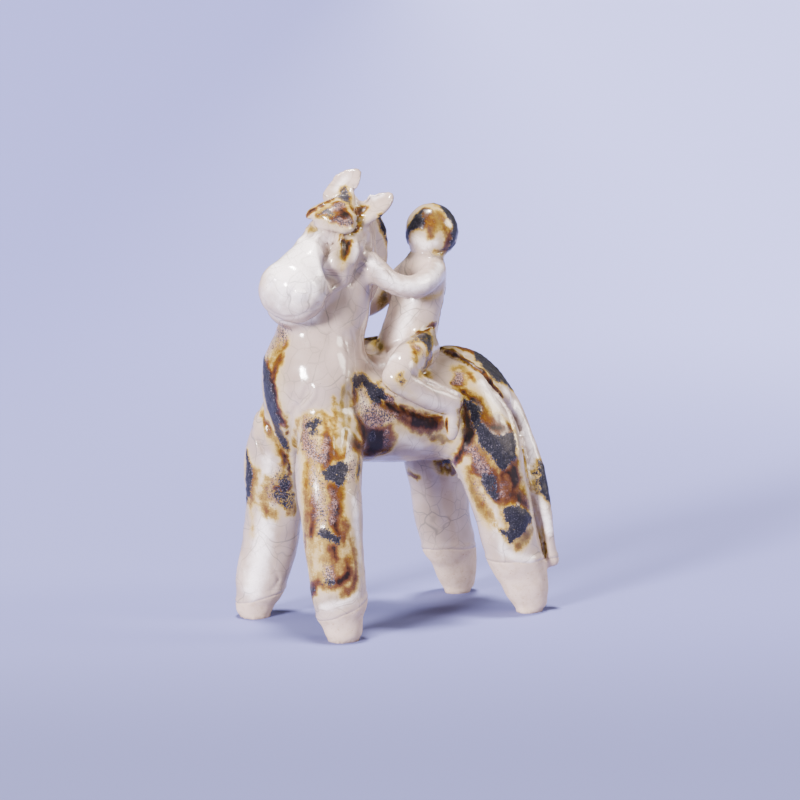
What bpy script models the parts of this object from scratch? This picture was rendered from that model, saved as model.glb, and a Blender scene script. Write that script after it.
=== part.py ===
# Small glazed toy of a horse and its rider, modelled as one solid in metres, +Z up.
# The horse faces -Y and its left side is +X. The feet stand on z = 0.
#
# The real one is rolled, pinched and luted together out of soft clay and fired as one piece, so the
# solid is made the same way: rolls and pads of clay are laid over one another, fused, smoothed along
# their seams with a wet finger, and then scored with a tool.

import math

import bmesh
import bpy
import numpy as np
from mathutils import Matrix, Vector

MM = 0.001

# The driving sizes. The free forms are drawn in units, 85.7 of them to the figure's height.
UNITS_TALL = 85.7
FIGURE_HEIGHT = 85.7 * MM
FORE_STANCE = 28.0 * MM
HIND_STANCE = 21.5 * MM
FOOT_BASE = 45.0 * MM
BODY_WIDTH = 20.5 * MM
FORE_LEG_THICKNESS = 11.0 * MM
HIND_LEG_THICKNESS = 10.4 * MM
SOLE_WIDTH = 7.0 * MM
NECK_WIDTH = 14.0 * MM
HEAD_WIDTH = 12.0 * MM
MUZZLE_WIDTH = 12.8 * MM
EAR_LENGTH = 6.9 * MM
EAR_WIDTH = 5.2 * MM
EAR_WALL = 1.7 * MM
FORELOCK_THICKNESS = 2.4 * MM
MANE_THICKNESS = 2.4 * MM
TAIL_WIDTH = 4.8 * MM
TAIL_THICKNESS = 3.4 * MM
RIDER_WIDTH = 10.8 * MM
RIDER_HEAD_WIDTH = 9.7 * MM
ARM_THICKNESS = 4.0 * MM
THIGH_THICKNESS = 6.2 * MM
SHIN_THICKNESS = 5.6 * MM
TOE_THICKNESS = 3.0 * MM

# How the horse carries its head.
HEAD_TURN = math.radians(17.0)
HEAD_DROOP = math.radians(34.0)
HEAD_TILT = math.radians(33.0)

# No two limbs lie alike. These are lengths in the figure's own units.
LEFT_KNEE_AHEAD = 1.4
LEFT_SOLE_AHEAD = 0.1
RIGHT_KNEE_AHEAD = -1.8
RIGHT_SOLE_AHEAD = 1.6
RIGHT_ELBOW_SAG = 5.0
RIGHT_THIGH_DROP = 2.0

# How finely the clay is worked.
BODY_GRAIN = 0.62 * MM
DETAIL_GRAIN = 0.46 * MM
SMOOTHINGS = 2
HORSE_SLIPS = 20
GROUP_SLIPS = 5
TRIANGLES = 9400

UNIT = FIGURE_HEIGHT / UNITS_TALL
FORE_X = FORE_STANCE / 2
HIND_X = HIND_STANCE / 2
FOOT_Y = FOOT_BASE / 2
HALF_BODY = BODY_WIDTH / 2

X_AXIS = Vector((1, 0, 0))
Y_AXIS = Vector((0, 1, 0))
Z_AXIS = Vector((0, 0, 1))


def point(x, y, z):
    """A place on the figure, given in its own units."""
    return Vector((x, y, z)) * UNIT


def between_stations(stations, steps):
    """Rows of x, y, z, width, depth on a smooth curve through the stations."""
    rows = np.array([[*place, width, depth] for place, width, depth in stations], dtype=float)
    padded = np.vstack([2 * rows[0] - rows[1], rows, 2 * rows[-1] - rows[-2]])
    out = []
    for i in range(1, len(padded) - 2):
        before, start, end, after = padded[i - 1:i + 3]
        for t in np.linspace(0, 1, steps, endpoint=False):
            out.append(0.5 * (2 * start + (end - before) * t
                              + (2 * before - 5 * start + 4 * end - after) * t ** 2
                              + (3 * start - before - 3 * end + after) * t ** 3))
    out.append(padded[-2])
    return np.array(out)


def roll(stations, side=X_AXIS, dome=1.0, cup=0.0, steps=5, sides=26):
    """A closed roll of clay: oval sections through the stations, with rounded ends.

    The width lies along the side direction. A cup bends the section towards the third direction.
    """
    rows = between_stations(stations, steps)
    centres = rows[:, :3]
    halves = rows[:, 3:] / 2
    tangents = np.gradient(centres, axis=0)
    tangents /= np.linalg.norm(tangents, axis=1)[:, None]
    rings = []

    def ring(centre, tangent, half):
        across = np.array(side) - tangent * np.dot(side, tangent)
        across /= np.linalg.norm(across)
        third = np.cross(tangent, across)
        turn = np.linspace(0, 2 * math.pi, sides, endpoint=False)
        out = centre + np.outer(np.cos(turn) * half[0], across)
        lift = np.sin(turn) * half[1] + cup * half[0] * np.cos(turn) ** 2
        rings.append(out + np.outer(lift, third))

    dome_steps = 4
    start_reach = dome * min(halves[0])
    end_reach = dome * min(halves[-1])
    for k in range(dome_steps, 0, -1):
        angle = math.pi / 2 * (k - 0.15) / dome_steps
        ring(centres[0] - tangents[0] * start_reach * math.sin(angle), tangents[0],
             halves[0] * math.cos(angle))
    for centre, tangent, half in zip(centres, tangents, halves):
        ring(centre, tangent, half)
    for k in range(1, dome_steps + 1):
        angle = math.pi / 2 * (k - 0.15) / dome_steps
        ring(centres[-1] + tangents[-1] * end_reach * math.sin(angle), tangents[-1],
             halves[-1] * math.cos(angle))

    bm = bmesh.new()
    loops = [[bm.verts.new(p) for p in r] for r in rings]
    for lower, upper in zip(loops, loops[1:]):
        for k in range(sides):
            bm.faces.new((lower[k - 1], lower[k], upper[k], upper[k - 1]))
    bm.faces.new(list(reversed(loops[0])))
    bm.faces.new(loops[-1])
    bmesh.ops.recalc_face_normals(bm, faces=bm.faces)
    return bm


def pad(centre, sizes, axes=(X_AXIS, Y_AXIS, Z_AXIS)):
    """An egg of clay, with its three full sizes along the three directions."""
    bm = bmesh.new()
    bmesh.ops.create_uvsphere(bm, u_segments=28, v_segments=18, radius=0.5)
    stretch = Matrix([axis * size for axis, size in zip(axes, sizes)]).transposed().to_4x4()
    bm.transform(Matrix.Translation(centre) @ stretch)
    bmesh.ops.recalc_face_normals(bm, faces=bm.faces)
    return bm


def join(pieces, name):
    """One mesh that holds all the pieces, still overlapping."""
    joined = bpy.data.meshes.new(name)
    gathered = bmesh.new()
    for piece in pieces:
        if isinstance(piece, bpy.types.Mesh):
            gathered.from_mesh(piece)
            bpy.data.meshes.remove(piece)
            continue
        part = bpy.data.meshes.new("clay")
        piece.to_mesh(part)
        piece.free()
        gathered.from_mesh(part)
        bpy.data.meshes.remove(part)
    gathered.to_mesh(joined)
    gathered.free()
    return joined


def finished(mesh, add_modifier):
    """The mesh after one modifier."""
    holder = bpy.data.objects.new("clay", mesh)
    bpy.context.scene.collection.objects.link(holder)
    add_modifier(holder)
    graph = bpy.context.evaluated_depsgraph_get()
    result = bpy.data.meshes.new_from_object(holder.evaluated_get(graph))
    bpy.data.objects.remove(holder)
    bpy.data.meshes.remove(mesh)
    return result


def fuse(pieces, grain):
    """Knead the pieces into one skin of even grain."""
    def add_remesh(holder):
        remesh = holder.modifiers.new("fuse", "REMESH")
        remesh.mode = "VOXEL"
        remesh.voxel_size = grain
        remesh.adaptivity = 0.0
    return finished(join(pieces, "fused"), add_remesh)


class Skin:
    """The surface of the clay as arrays, so that whole regions can be worked at once."""

    def __init__(self, mesh):
        self.mesh = mesh
        self.places = np.empty(len(mesh.vertices) * 3)
        mesh.vertices.foreach_get("co", self.places)
        self.places = self.places.reshape(-1, 3)
        self.edges = np.empty(len(mesh.edges) * 2, dtype=np.int32)
        mesh.edges.foreach_get("vertices", self.edges)
        self.edges = self.edges.reshape(-1, 2)
        self.count = np.bincount(self.edges.ravel(), minlength=len(self.places)).astype(float)

    def store(self):
        self.mesh.vertices.foreach_set("co", self.places.ravel())
        self.mesh.update()

    def normals(self):
        self.store()
        out = np.empty(len(self.places) * 3)
        self.mesh.vertex_normals.foreach_get("vector", out)
        return out.reshape(-1, 3)

    def pull(self):
        """How far each vertex lies from the middle of its neighbours."""
        a, b = self.edges[:, 0], self.edges[:, 1]
        size = len(self.places)
        total = np.empty((size, 3))
        for k in range(3):
            total[:, k] = np.bincount(a, self.places[b, k], size) + np.bincount(b, self.places[a, k], size)
        return total / self.count[:, None] - self.places

    def smooth(self, rounds, weight=0.5):
        for _ in range(rounds):
            self.places += self.pull() * weight
            self.places -= self.pull() * weight * 1.02

    def lute(self, rounds):
        """Fill the creases with slip: only hollow places rise."""
        for _ in range(rounds):
            normals = self.normals()
            pull = self.pull()
            rise = np.einsum("ij,ij->i", pull, normals)
            self.places += normals * np.clip(rise, 0, None)[:, None] * 0.9

    def nearest(self, place):
        """The vertex of the skin that is closest to a place."""
        return self.places[np.argmin(np.linalg.norm(self.places - np.array(place), axis=1))].copy()

    def score(self, route, width, depth):
        """Draw a round tool over the skin along the route. A negative depth raises a bead instead."""
        normals = self.normals()
        route = [self.nearest(place) for place in route]
        gap = np.full(len(self.places), np.inf)
        for start, end in zip(route, route[1:]):
            span = end - start
            share = np.clip(((self.places - start) @ span) / max(span @ span, 1e-18), 0, 1)
            gap = np.minimum(gap, np.linalg.norm(self.places - (start + share[:, None] * span), axis=1))
        reach = np.clip(1 - (gap / width) ** 2, 0, 1) ** 2
        self.places -= normals * (reach * depth)[:, None]


def head_axes():
    """Down the nose, to the horse's left, and up out of the brow."""
    level_nose = Vector((math.sin(HEAD_TURN), -math.cos(HEAD_TURN), 0))
    nose = level_nose * math.cos(HEAD_DROOP) - Z_AXIS * math.sin(HEAD_DROOP)
    level_left = Vector((math.cos(HEAD_TURN), math.sin(HEAD_TURN), 0))
    level_brow = nose.cross(level_left)
    left = level_left * math.cos(HEAD_TILT) - level_brow * math.sin(HEAD_TILT)
    return nose, left, nose.cross(left)


NOSE, LEFT, BROW = head_axes()
SKULL = point(1.0, -15.6, 72.6)


def on_head(down_nose, left, brow):
    """A place on the head, measured from the middle of the skull."""
    return SKULL + (NOSE * down_nose + LEFT * left + BROW * brow) * UNIT


def body():
    """The barrel, the breast and the neck."""
    barrel = roll([
        (point(0, -19, 42.6), HALF_BODY * 1.75, 18 * UNIT),
        (point(0, -12, 40.8), BODY_WIDTH, 20.6 * UNIT),
        (point(0, -2, 39.6), HALF_BODY * 1.95, 20 * UNIT),
        (point(0, 8, 39.1), HALF_BODY * 1.93, 20 * UNIT),
        (point(0, 14, 38.8), HALF_BODY * 1.96, 19.6 * UNIT),
        (point(0, 18.2, 37.8), HALF_BODY * 1.8, 17.4 * UNIT),
    ], dome=0.45)
    breast = pad(point(0, -20.6, 46.2), (BODY_WIDTH * 1.02, 17.4 * UNIT, 24 * UNIT))
    neck = roll([
        (point(0, -16.5, 40.6), NECK_WIDTH * 1.25, 20 * UNIT),
        (point(0, -18.2, 48.6), NECK_WIDTH * 1.15, 18.6 * UNIT),
        (point(0, -18.3, 54.6), NECK_WIDTH * 1.06, 17.2 * UNIT),
        (point(0, -15.6, 61.1), NECK_WIDTH * 0.94, 15.4 * UNIT),
        (point(0, -13.4, 67.6), NECK_WIDTH * 0.83, 13.2 * UNIT),
        (point(-0.2, -12.4, 73.6), NECK_WIDTH * 0.7, 11 * UNIT),
    ])
    return [barrel, breast, neck]


def fore_leg(hand, knee_ahead, sole_ahead):
    """A foreleg with its shoulder. The hand is 1 on the horse's left and -1 on its right."""
    thick = FORE_LEG_THICKNESS

    def down(share, z, bend=0.0):
        ahead = (knee_ahead * bend + sole_ahead * (1 - bend)) * UNIT
        return Vector((hand * FORE_X * share, -FOOT_Y - ahead, z * UNIT))

    return [roll([
        (point(hand * 5.0, -18.5, 42.6), thick * 0.85, thick * 1.1),
        (point(hand * 7.6, -21.0, 36.6), thick * 1.0, thick * 1.2),
        (down(0.76, 29.5, 0.8), thick * 1.03, thick * 1.16),
        (down(0.86, 22.5, 1.0), thick * 0.98, thick * 1.06),
        (down(0.92, 14.4, 0.8), thick * 0.93, thick * 1.0),
        (down(0.95, 8.2, 0.35), thick * 0.87, thick * 0.94),
        (down(0.965, 5.0, 0.1), thick * 0.79, thick * 0.87),
        (down(0.985, 3.7), SOLE_WIDTH * 1.05, SOLE_WIDTH * 1.1),
        (down(1.0, 0.4), SOLE_WIDTH, SOLE_WIDTH * 1.04),
    ], dome=0.36)]


def hind_leg(hand):
    """A hind leg with its haunch."""
    thick = HIND_LEG_THICKNESS

    def down(share, back, z):
        return Vector((hand * HIND_X * share, FOOT_Y - back * UNIT, z * UNIT))

    return [roll([
        (point(hand * 4.0, 10.0, 43.6), thick * 1.0, thick * 1.35),
        (point(hand * 6.2, 12.0, 37.6), thick * 1.12, thick * 1.5),
        (down(0.80, 8.1, 30.5), thick * 1.1, thick * 1.42),
        (down(0.94, 6.4, 23), thick * 0.98, thick * 1.22),
        (down(1.0, 5.0, 15.4), thick * 0.92, thick * 1.11),
        (down(1.03, 3.1, 9.8), thick * 0.9, thick * 1.04),
        (down(1.05, 2.4, 8.2), thick * 0.83, thick * 0.95),
        (down(1.08, 0.9, 4.2), thick * 0.77, thick * 0.87),
        (down(1.10, -0.1, 0.4), SOLE_WIDTH * 0.86, SOLE_WIDTH * 0.88),
    ], dome=0.4)]


def head():
    """The skull, the nose and the lower lip."""
    skull = roll([
        (on_head(-6.5, -0.5, 0.4), HEAD_WIDTH * 0.72, 8.6 * UNIT),
        (on_head(-2, -0.3, -0.3), HEAD_WIDTH * 0.93, 12.0 * UNIT),
        (on_head(2, 0.3, -0.9), HEAD_WIDTH * 1.03, 13.6 * UNIT),
        (on_head(7, 0.5, -1.2), HEAD_WIDTH * 1.0, 12.8 * UNIT),
        (on_head(11, 0, -0.7), MUZZLE_WIDTH * 0.9, 11.8 * UNIT),
        (on_head(15, 0, -0.3), MUZZLE_WIDTH, 12.2 * UNIT),
        (on_head(17, 0, 0), MUZZLE_WIDTH * 0.92, 11 * UNIT),
    ], side=LEFT, dome=0.55)
    lip = pad(on_head(14.2, 0.2, -4.9), (9.8 * UNIT, MUZZLE_WIDTH * 0.8, 6.8 * UNIT), (NOSE, LEFT, BROW))
    return [skull, lip]


def ear(base, lean, length):
    """A pinched ear, swept back and cupped towards the front."""
    out = (-NOSE * 0.86 + LEFT * lean + BROW * 0.34).normalized()
    across = out.cross(BROW).normalized()
    wall = EAR_WALL
    return roll([
        (base - out * 1.5 * UNIT, EAR_WIDTH * 0.8, wall * 1.7),
        (base + out * length * 0.15, EAR_WIDTH * 0.94, wall * 1.25),
        (base + out * length * 0.45, EAR_WIDTH, wall),
        (base + out * length * 0.74, EAR_WIDTH * 0.78, wall * 0.9),
        (base + out * length * 0.95, EAR_WIDTH * 0.36, wall * 0.8),
    ], side=across, dome=0.6, cup=-0.5)


def ears():
    right = ear(on_head(-5.6, -3.9, 4.3), 0.12, EAR_LENGTH)
    left = ear(on_head(-6.0, 2.8, 3.9), 0.30, EAR_LENGTH * 0.88)
    return [right, left]


def forelock():
    """A pressed leaf of clay that falls from between the ears over the brow."""
    thick = FORELOCK_THICKNESS
    return [roll([
        (on_head(-6.6, -1.2, 5.2), 3.0 * UNIT, thick * 0.9),
        (on_head(-3.6, -1.4, 6.2), 6.0 * UNIT, thick),
        (on_head(-0.4, -1.5, 6.8), 8.8 * UNIT, thick * 1.1),
        (on_head(2.0, -1.5, 6.6), 9.6 * UNIT, thick * 1.2),
    ], side=(LEFT - NOSE * 0.22 + BROW * 0.12).normalized(), dome=0.9, cup=-0.24)]


def mane():
    """A thin comb down the crest of the neck."""
    thick = MANE_THICKNESS
    return [roll([
        (point(0.1, -10.5, 77.4), thick, 5 * UNIT),
        (point(0.1, -7.6, 75.8), thick, 5.6 * UNIT),
        (point(0, -5.9, 71.6), thick, 6 * UNIT),
        (point(0, -6.6, 66.6), thick, 6 * UNIT),
        (point(0, -9.4, 60.6), thick, 4.6 * UNIT),
        (point(0, -11.4, 55.6), thick, 3 * UNIT),
    ])]


def tail():
    """A flat strap that lies along the rump and down the back of the left hind leg."""
    wide = TAIL_WIDTH
    thick = TAIL_THICKNESS
    leg_x = HIND_X * 1.08
    return [roll([
        (point(0, 6.0, 48.5), wide * 0.85, thick),
        (point(0.2, 12.0, 49.2), wide * 0.9, thick),
        (point(1.0, 17.4, 47.0), wide * 0.95, thick * 1.05),
        (point(3.0, 20.9, 42.6), wide, thick * 1.1),
        (point(6.0, 22.9, 36.6), wide * 1.02, thick * 1.1),
        (Vector((leg_x * 0.81, 24.2 * UNIT, 27.9 * UNIT)), wide * 1.0, thick * 1.15),
        (Vector((leg_x * 0.97, 24.8 * UNIT, 20.1 * UNIT)), wide * 0.98, thick * 1.15),
        (Vector((leg_x * 1.06, 25.5 * UNIT, 13.6 * UNIT)), wide * 0.88, thick),
        (Vector((leg_x * 1.08, 26.6 * UNIT, 8.8 * UNIT)), wide * 0.7, thick * 0.8),
    ], side=(X_AXIS - Y_AXIS * 0.25).normalized(), dome=0.35)]


def rider():
    """The child that lies against the neck: trunk and head."""
    trunk = roll([
        (point(0, 0.4, 47.6), RIDER_WIDTH * 1.08, 11 * UNIT),
        (point(0, 1.4, 52.6), RIDER_WIDTH * 1.04, 10.8 * UNIT),
        (point(0, 3.4, 59.1), RIDER_WIDTH * 0.94, 9.6 * UNIT),
        (point(0, 5.0, 64.6), RIDER_WIDTH * 1.0, 9.0 * UNIT),
        (point(0, 5.6, 67.2), RIDER_WIDTH * 0.84, 7.2 * UNIT),
    ], dome=0.5)
    throat = roll([
        (point(0, 5.6, 66.1), RIDER_HEAD_WIDTH * 0.7, 6.4 * UNIT),
        (point(0, 6.6, 70.6), RIDER_HEAD_WIDTH * 0.74, 6.6 * UNIT),
    ])
    face = pad(point(0, 7.1, 73.0), (RIDER_HEAD_WIDTH, 10.2 * UNIT, 10.4 * UNIT))
    return [trunk, throat, face]


def arm(hand, sag):
    """An arm from the shoulder round to the neck. The sag drops the elbow."""
    thick = ARM_THICKNESS
    shoulder = Vector((hand * RIDER_WIDTH * 0.48, 4.6 * UNIT, 66.0 * UNIT))
    grip = NECK_WIDTH * 0.44
    return [roll([
        (shoulder - point(hand * 1.5, -0.8, 0), thick * 1.1, thick * 1.2),
        (shoulder + point(hand * 1.7, -3.2, -1.2 - sag * 0.7), thick * 1.1, thick * 1.25),
        (shoulder + point(hand * 2.8, -6.6, -2.2 - sag), thick * 1.02, thick * 1.16),
        (shoulder + point(hand * 2.7, -9.6, -2.1 - sag), thick * 0.95, thick * 1.08),
        (shoulder + point(hand * 1.8, -12.6, -0.7 - sag * 0.7), thick * 0.9, thick * 1.02),
        (Vector((hand * grip, -10.2 * UNIT, (67.6 - sag * 0.3) * UNIT)), thick * 0.85, thick * 1.15),
        (Vector((hand * grip * 0.95, -11.4 * UNIT, (69.4 - sag * 0.3) * UNIT)), thick * 0.6, thick * 0.9),
    ], side=X_AXIS)]


def leg(hand, drop):
    """A folded leg: the thigh forward along the ribs, the shin back, and a peg of a foot."""
    flank = hand * (HALF_BODY + SHIN_THICKNESS * 0.36)
    knee = Vector((flank * 0.98, -9.9 * UNIT, (48.9 - drop) * UNIT))
    heel = Vector((flank * 1.02, 2.6 * UNIT, (42.0 - drop * 0.5) * UNIT))
    thigh = roll([
        (point(hand * 4.0, 2.2, 51.8 - drop), THIGH_THICKNESS * 1.1, THIGH_THICKNESS * 1.2),
        (point(hand * 8.4, -2.6, 51.0 - drop), THIGH_THICKNESS, THIGH_THICKNESS * 1.1),
        (knee - point(hand * 0.8, -2.2, -0.4), THIGH_THICKNESS * 0.96, THIGH_THICKNESS),
        (knee + point(0, 1.4, -1.4), THIGH_THICKNESS * 0.85, THIGH_THICKNESS * 0.9),
    ])
    shin = roll([
        (knee + point(0, 0.2, -1.1), SHIN_THICKNESS * 0.95, SHIN_THICKNESS * 1.05),
        (knee.lerp(heel, 0.5) - Z_AXIS * 0.9 * UNIT, SHIN_THICKNESS * 0.92, SHIN_THICKNESS),
        (heel, SHIN_THICKNESS * 0.84, SHIN_THICKNESS * 0.9),
    ])
    toe = roll([
        (heel + point(0, 0.2, -1.0), TOE_THICKNESS * 1.05, TOE_THICKNESS * 1.15),
        (heel + point(hand * 0.3, 0.2, -4.2), TOE_THICKNESS * 0.85, TOE_THICKNESS * 0.95),
        (heel + point(hand * 0.4, 0.0, -6.4), TOE_THICKNESS * 0.62, TOE_THICKNESS * 0.66),
    ])
    return [thigh, shin, toe]


def on_horse(skin):
    """The marks of the tool on the horse: mouth, nostrils, eyes, brow and the folds at the shoulders."""
    fine = 0.55 * UNIT
    broad = 1.0 * UNIT
    mouth = [on_head(*place) for place in (
        (13, -6, -4.4), (17, -4.4, -4.4), (19.4, -1.5, -4.0), (19.6, 0.8, -3.8),
        (18.6, 3.4, -3.7), (16, 5.8, -3.4), (13, 6.4, -2.7))]
    skin.score(mouth, broad, fine)
    for side in (-1, 1):
        turns = [math.radians(angle) for angle in range(0, 361, 30)]
        nostril = [on_head(16.8 - 0.9 * math.cos(a), side * 2.9 - 0.3 + 1.5 * math.sin(a), 3.2 + 1.2 * math.cos(a))
                   for a in turns]
        skin.score(nostril, fine * 1.3, fine * 0.7)
        eye = [on_head(1.5, side * 2.8, 5.0), on_head(4.0, side * 3.8, 4.2), on_head(6.3, side * 4.4, 2.8)]
        skin.score(eye, broad, fine * 1.2)
        lid = [on_head(0.8, side * 4.1, 4.2), on_head(2.0, side * 5.6, 3.0), on_head(4.0, side * 6.2, 1.6)]
        skin.score(lid, broad, -fine * 0.6)
    brow = [on_head(*place) for place in (
        (3.4, -6.0, 3.0), (4.8, -3.4, 5.6), (5.0, -1.0, 6.2), (4.6, 1.4, 6.0), (3.0, 3.4, 5.2))]
    skin.score(brow, broad * 0.8, fine * 0.7)
    near_fold = [point(5.0, -28.5, 45), point(6.4, -28, 39), point(6.6, -28, 33)]
    far_fold = [point(-7.5, -27, 49), point(-8.4, -27, 42), point(-6.6, -28, 36), point(-5.4, -28, 32)]
    for fold in (near_fold, far_fold):
        skin.score(fold, broad, fine)


def on_rider(skin):
    """The marks of the tool on the child: the fingers, the throat and the folds at the hips."""
    fine = 0.5 * UNIT
    for hand, lift in ((1, 0.0), (-1, -1.5)):
        side = hand * NECK_WIDTH * 0.5
        for slot in range(3):
            height = (66.6 + lift + slot * 1.3) * UNIT
            skin.score([Vector((side * 1.1, -9.6 * UNIT, height)),
                        Vector((side, -12.6 * UNIT, height + 1.2 * UNIT))], fine, fine * 0.9)
        skin.score([point(hand * 5.6, -4.5, 53.6), point(hand * 6.4, 0.5, 54.2), point(hand * 5.4, 5.0, 52.6)],
                   fine * 2, fine)


def work_clay():
    """Fuse the horse, lute its limbs on, add the fine pieces, and score the details."""
    legs = (fore_leg(1, LEFT_KNEE_AHEAD, LEFT_SOLE_AHEAD) + fore_leg(-1, RIGHT_KNEE_AHEAD, RIGHT_SOLE_AHEAD)
            + hind_leg(1) + hind_leg(-1))
    skin = Skin(fuse(body() + legs, BODY_GRAIN))
    skin.smooth(SMOOTHINGS)
    skin.lute(HORSE_SLIPS)
    skin.smooth(SMOOTHINGS)
    skin.store()

    on_the_neck = head() + ears() + forelock() + mane()
    child = rider() + arm(1, 0.0) + arm(-1, RIGHT_ELBOW_SAG) + leg(1, 0.0) + leg(-1, RIGHT_THIGH_DROP)
    skin = Skin(fuse([skin.mesh] + on_the_neck + tail() + child, DETAIL_GRAIN))
    skin.smooth(SMOOTHINGS)
    skin.lute(GROUP_SLIPS)
    on_horse(skin)
    on_rider(skin)
    skin.smooth(1)
    skin.store()
    return skin.mesh


def thinned(mesh):
    """The same skin in fewer, larger facets."""
    share = TRIANGLES / (2.0 * len(mesh.polygons))

    def add_decimate(holder):
        decimate = holder.modifiers.new("thin", "DECIMATE")
        decimate.ratio = share
        decimate.use_collapse_triangulate = True
    return finished(mesh, add_decimate)


def stand(mesh):
    """Rub the feet flat on z = 0 and centre the figure over its origin."""
    bm = bmesh.new()
    bm.from_mesh(mesh)
    bmesh.ops.bisect_plane(bm, geom=bm.verts[:] + bm.edges[:] + bm.faces[:], dist=1e-6,
                           plane_co=(0, 0, 0), plane_no=(0, 0, -1), clear_outer=True)
    bmesh.ops.remove_doubles(bm, verts=bm.verts, dist=1e-6)
    rims = [edge for edge in bm.edges if edge.is_boundary]
    bmesh.ops.holes_fill(bm, edges=rims, sides=0)
    bmesh.ops.triangulate(bm, faces=bm.faces)
    bmesh.ops.recalc_face_normals(bm, faces=bm.faces)
    lows = [min(v.co[k] for v in bm.verts) for k in range(3)]
    highs = [max(v.co[k] for v in bm.verts) for k in range(3)]
    middle = Vector(((lows[0] + highs[0]) / 2, (lows[1] + highs[1]) / 2, 0))
    bmesh.ops.translate(bm, verts=bm.verts, vec=-middle)
    bm.to_mesh(mesh)
    bm.free()
    print("centred by", [round(v * 1000, 3) for v in middle], "mm, size",
          [round((h - l) * 1000, 2) for h, l in zip(highs, lows)], "mm,", len(mesh.polygons), "faces")


def glaze():
    """Warm white glaze over a fine pale body."""
    material = bpy.data.materials.new("ivory_glaze")
    material.use_nodes = True
    shader = material.node_tree.nodes["Principled BSDF"]
    shader.inputs["Base Color"].default_value = (0.78, 0.74, 0.68, 1)
    shader.inputs["Roughness"].default_value = 0.22
    shader.inputs["IOR"].default_value = 1.5
    return material


def main():
    for old in list(bpy.data.objects):
        bpy.data.objects.remove(old)
    collection = bpy.data.collections.new("porcelain_horse_and_rider")
    bpy.context.scene.collection.children.link(collection)
    mesh = thinned(work_clay())
    stand(mesh)
    mesh.name = "horse_and_rider"
    mesh.materials.clear()
    mesh.materials.append(glaze())
    mesh.shade_smooth()
    figure = bpy.data.objects.new("horse_and_rider", mesh)
    collection.objects.link(figure)


main()
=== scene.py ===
import math
from functools import partial

import bmesh
import bpy
import numpy as np
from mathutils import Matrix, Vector, noise
from mathutils.bvhtree import BVHTree


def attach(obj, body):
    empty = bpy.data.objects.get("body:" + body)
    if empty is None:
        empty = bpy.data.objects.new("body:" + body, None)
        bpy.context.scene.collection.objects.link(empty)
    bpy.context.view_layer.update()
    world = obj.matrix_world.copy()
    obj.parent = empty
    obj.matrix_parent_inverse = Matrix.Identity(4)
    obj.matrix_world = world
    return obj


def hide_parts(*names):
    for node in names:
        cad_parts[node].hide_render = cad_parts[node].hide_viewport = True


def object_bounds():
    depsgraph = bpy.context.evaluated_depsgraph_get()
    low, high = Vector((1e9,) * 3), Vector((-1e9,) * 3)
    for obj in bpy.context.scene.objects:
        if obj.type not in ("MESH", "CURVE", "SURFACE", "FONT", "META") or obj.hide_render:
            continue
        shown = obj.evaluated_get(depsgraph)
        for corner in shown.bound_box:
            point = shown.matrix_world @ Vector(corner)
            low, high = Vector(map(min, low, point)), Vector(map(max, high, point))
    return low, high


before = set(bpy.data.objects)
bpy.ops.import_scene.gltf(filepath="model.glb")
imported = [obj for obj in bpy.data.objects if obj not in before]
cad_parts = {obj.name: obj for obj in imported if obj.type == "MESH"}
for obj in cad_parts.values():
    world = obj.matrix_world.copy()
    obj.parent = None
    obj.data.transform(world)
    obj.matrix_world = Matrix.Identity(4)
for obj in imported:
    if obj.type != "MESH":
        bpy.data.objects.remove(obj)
cadBox = [list(corner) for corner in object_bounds()]
print("frame loaded")

mm = 0.001  # the values below are in millimetres on the figure: +z up, the horse faces -y, its left is +x

# Each foot's dip line: a place on it, and how it climbs towards +x and +y.
dipLines = {
    "foreLeft": ((15.34, -22.72, 5.1), (0.089, 0.41)),
    "foreRight": ((-11.33, -23.4, 3.7), (0.13, 0.22)),
    "hindLeft": ((14.36, 20.12, 10.4), (-0.017, -0.036)),
    "hindRight": ((-8.83, 19.89, 9.4), (0.1, -0.046)),
}

# The marks below were laid down over the picture, in its pixels across and down, so they are thrown
# onto the skin from where it was taken. On the other sides they are in millimetres across and up, square on.
sights = {
    "picture": {"azimuth": 55.0, "elevation": 8.0, "distance": 650.0, "step": 0.19, "middle": 400.0},
    "offSide": {"azimuth": 270.0, "elevation": 10.0},
    "behind": {"azimuth": 180.0, "elevation": 10.0},
}
aim = (-1.0, 3.147, 41.1)  # what the picture's camera points at

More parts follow.
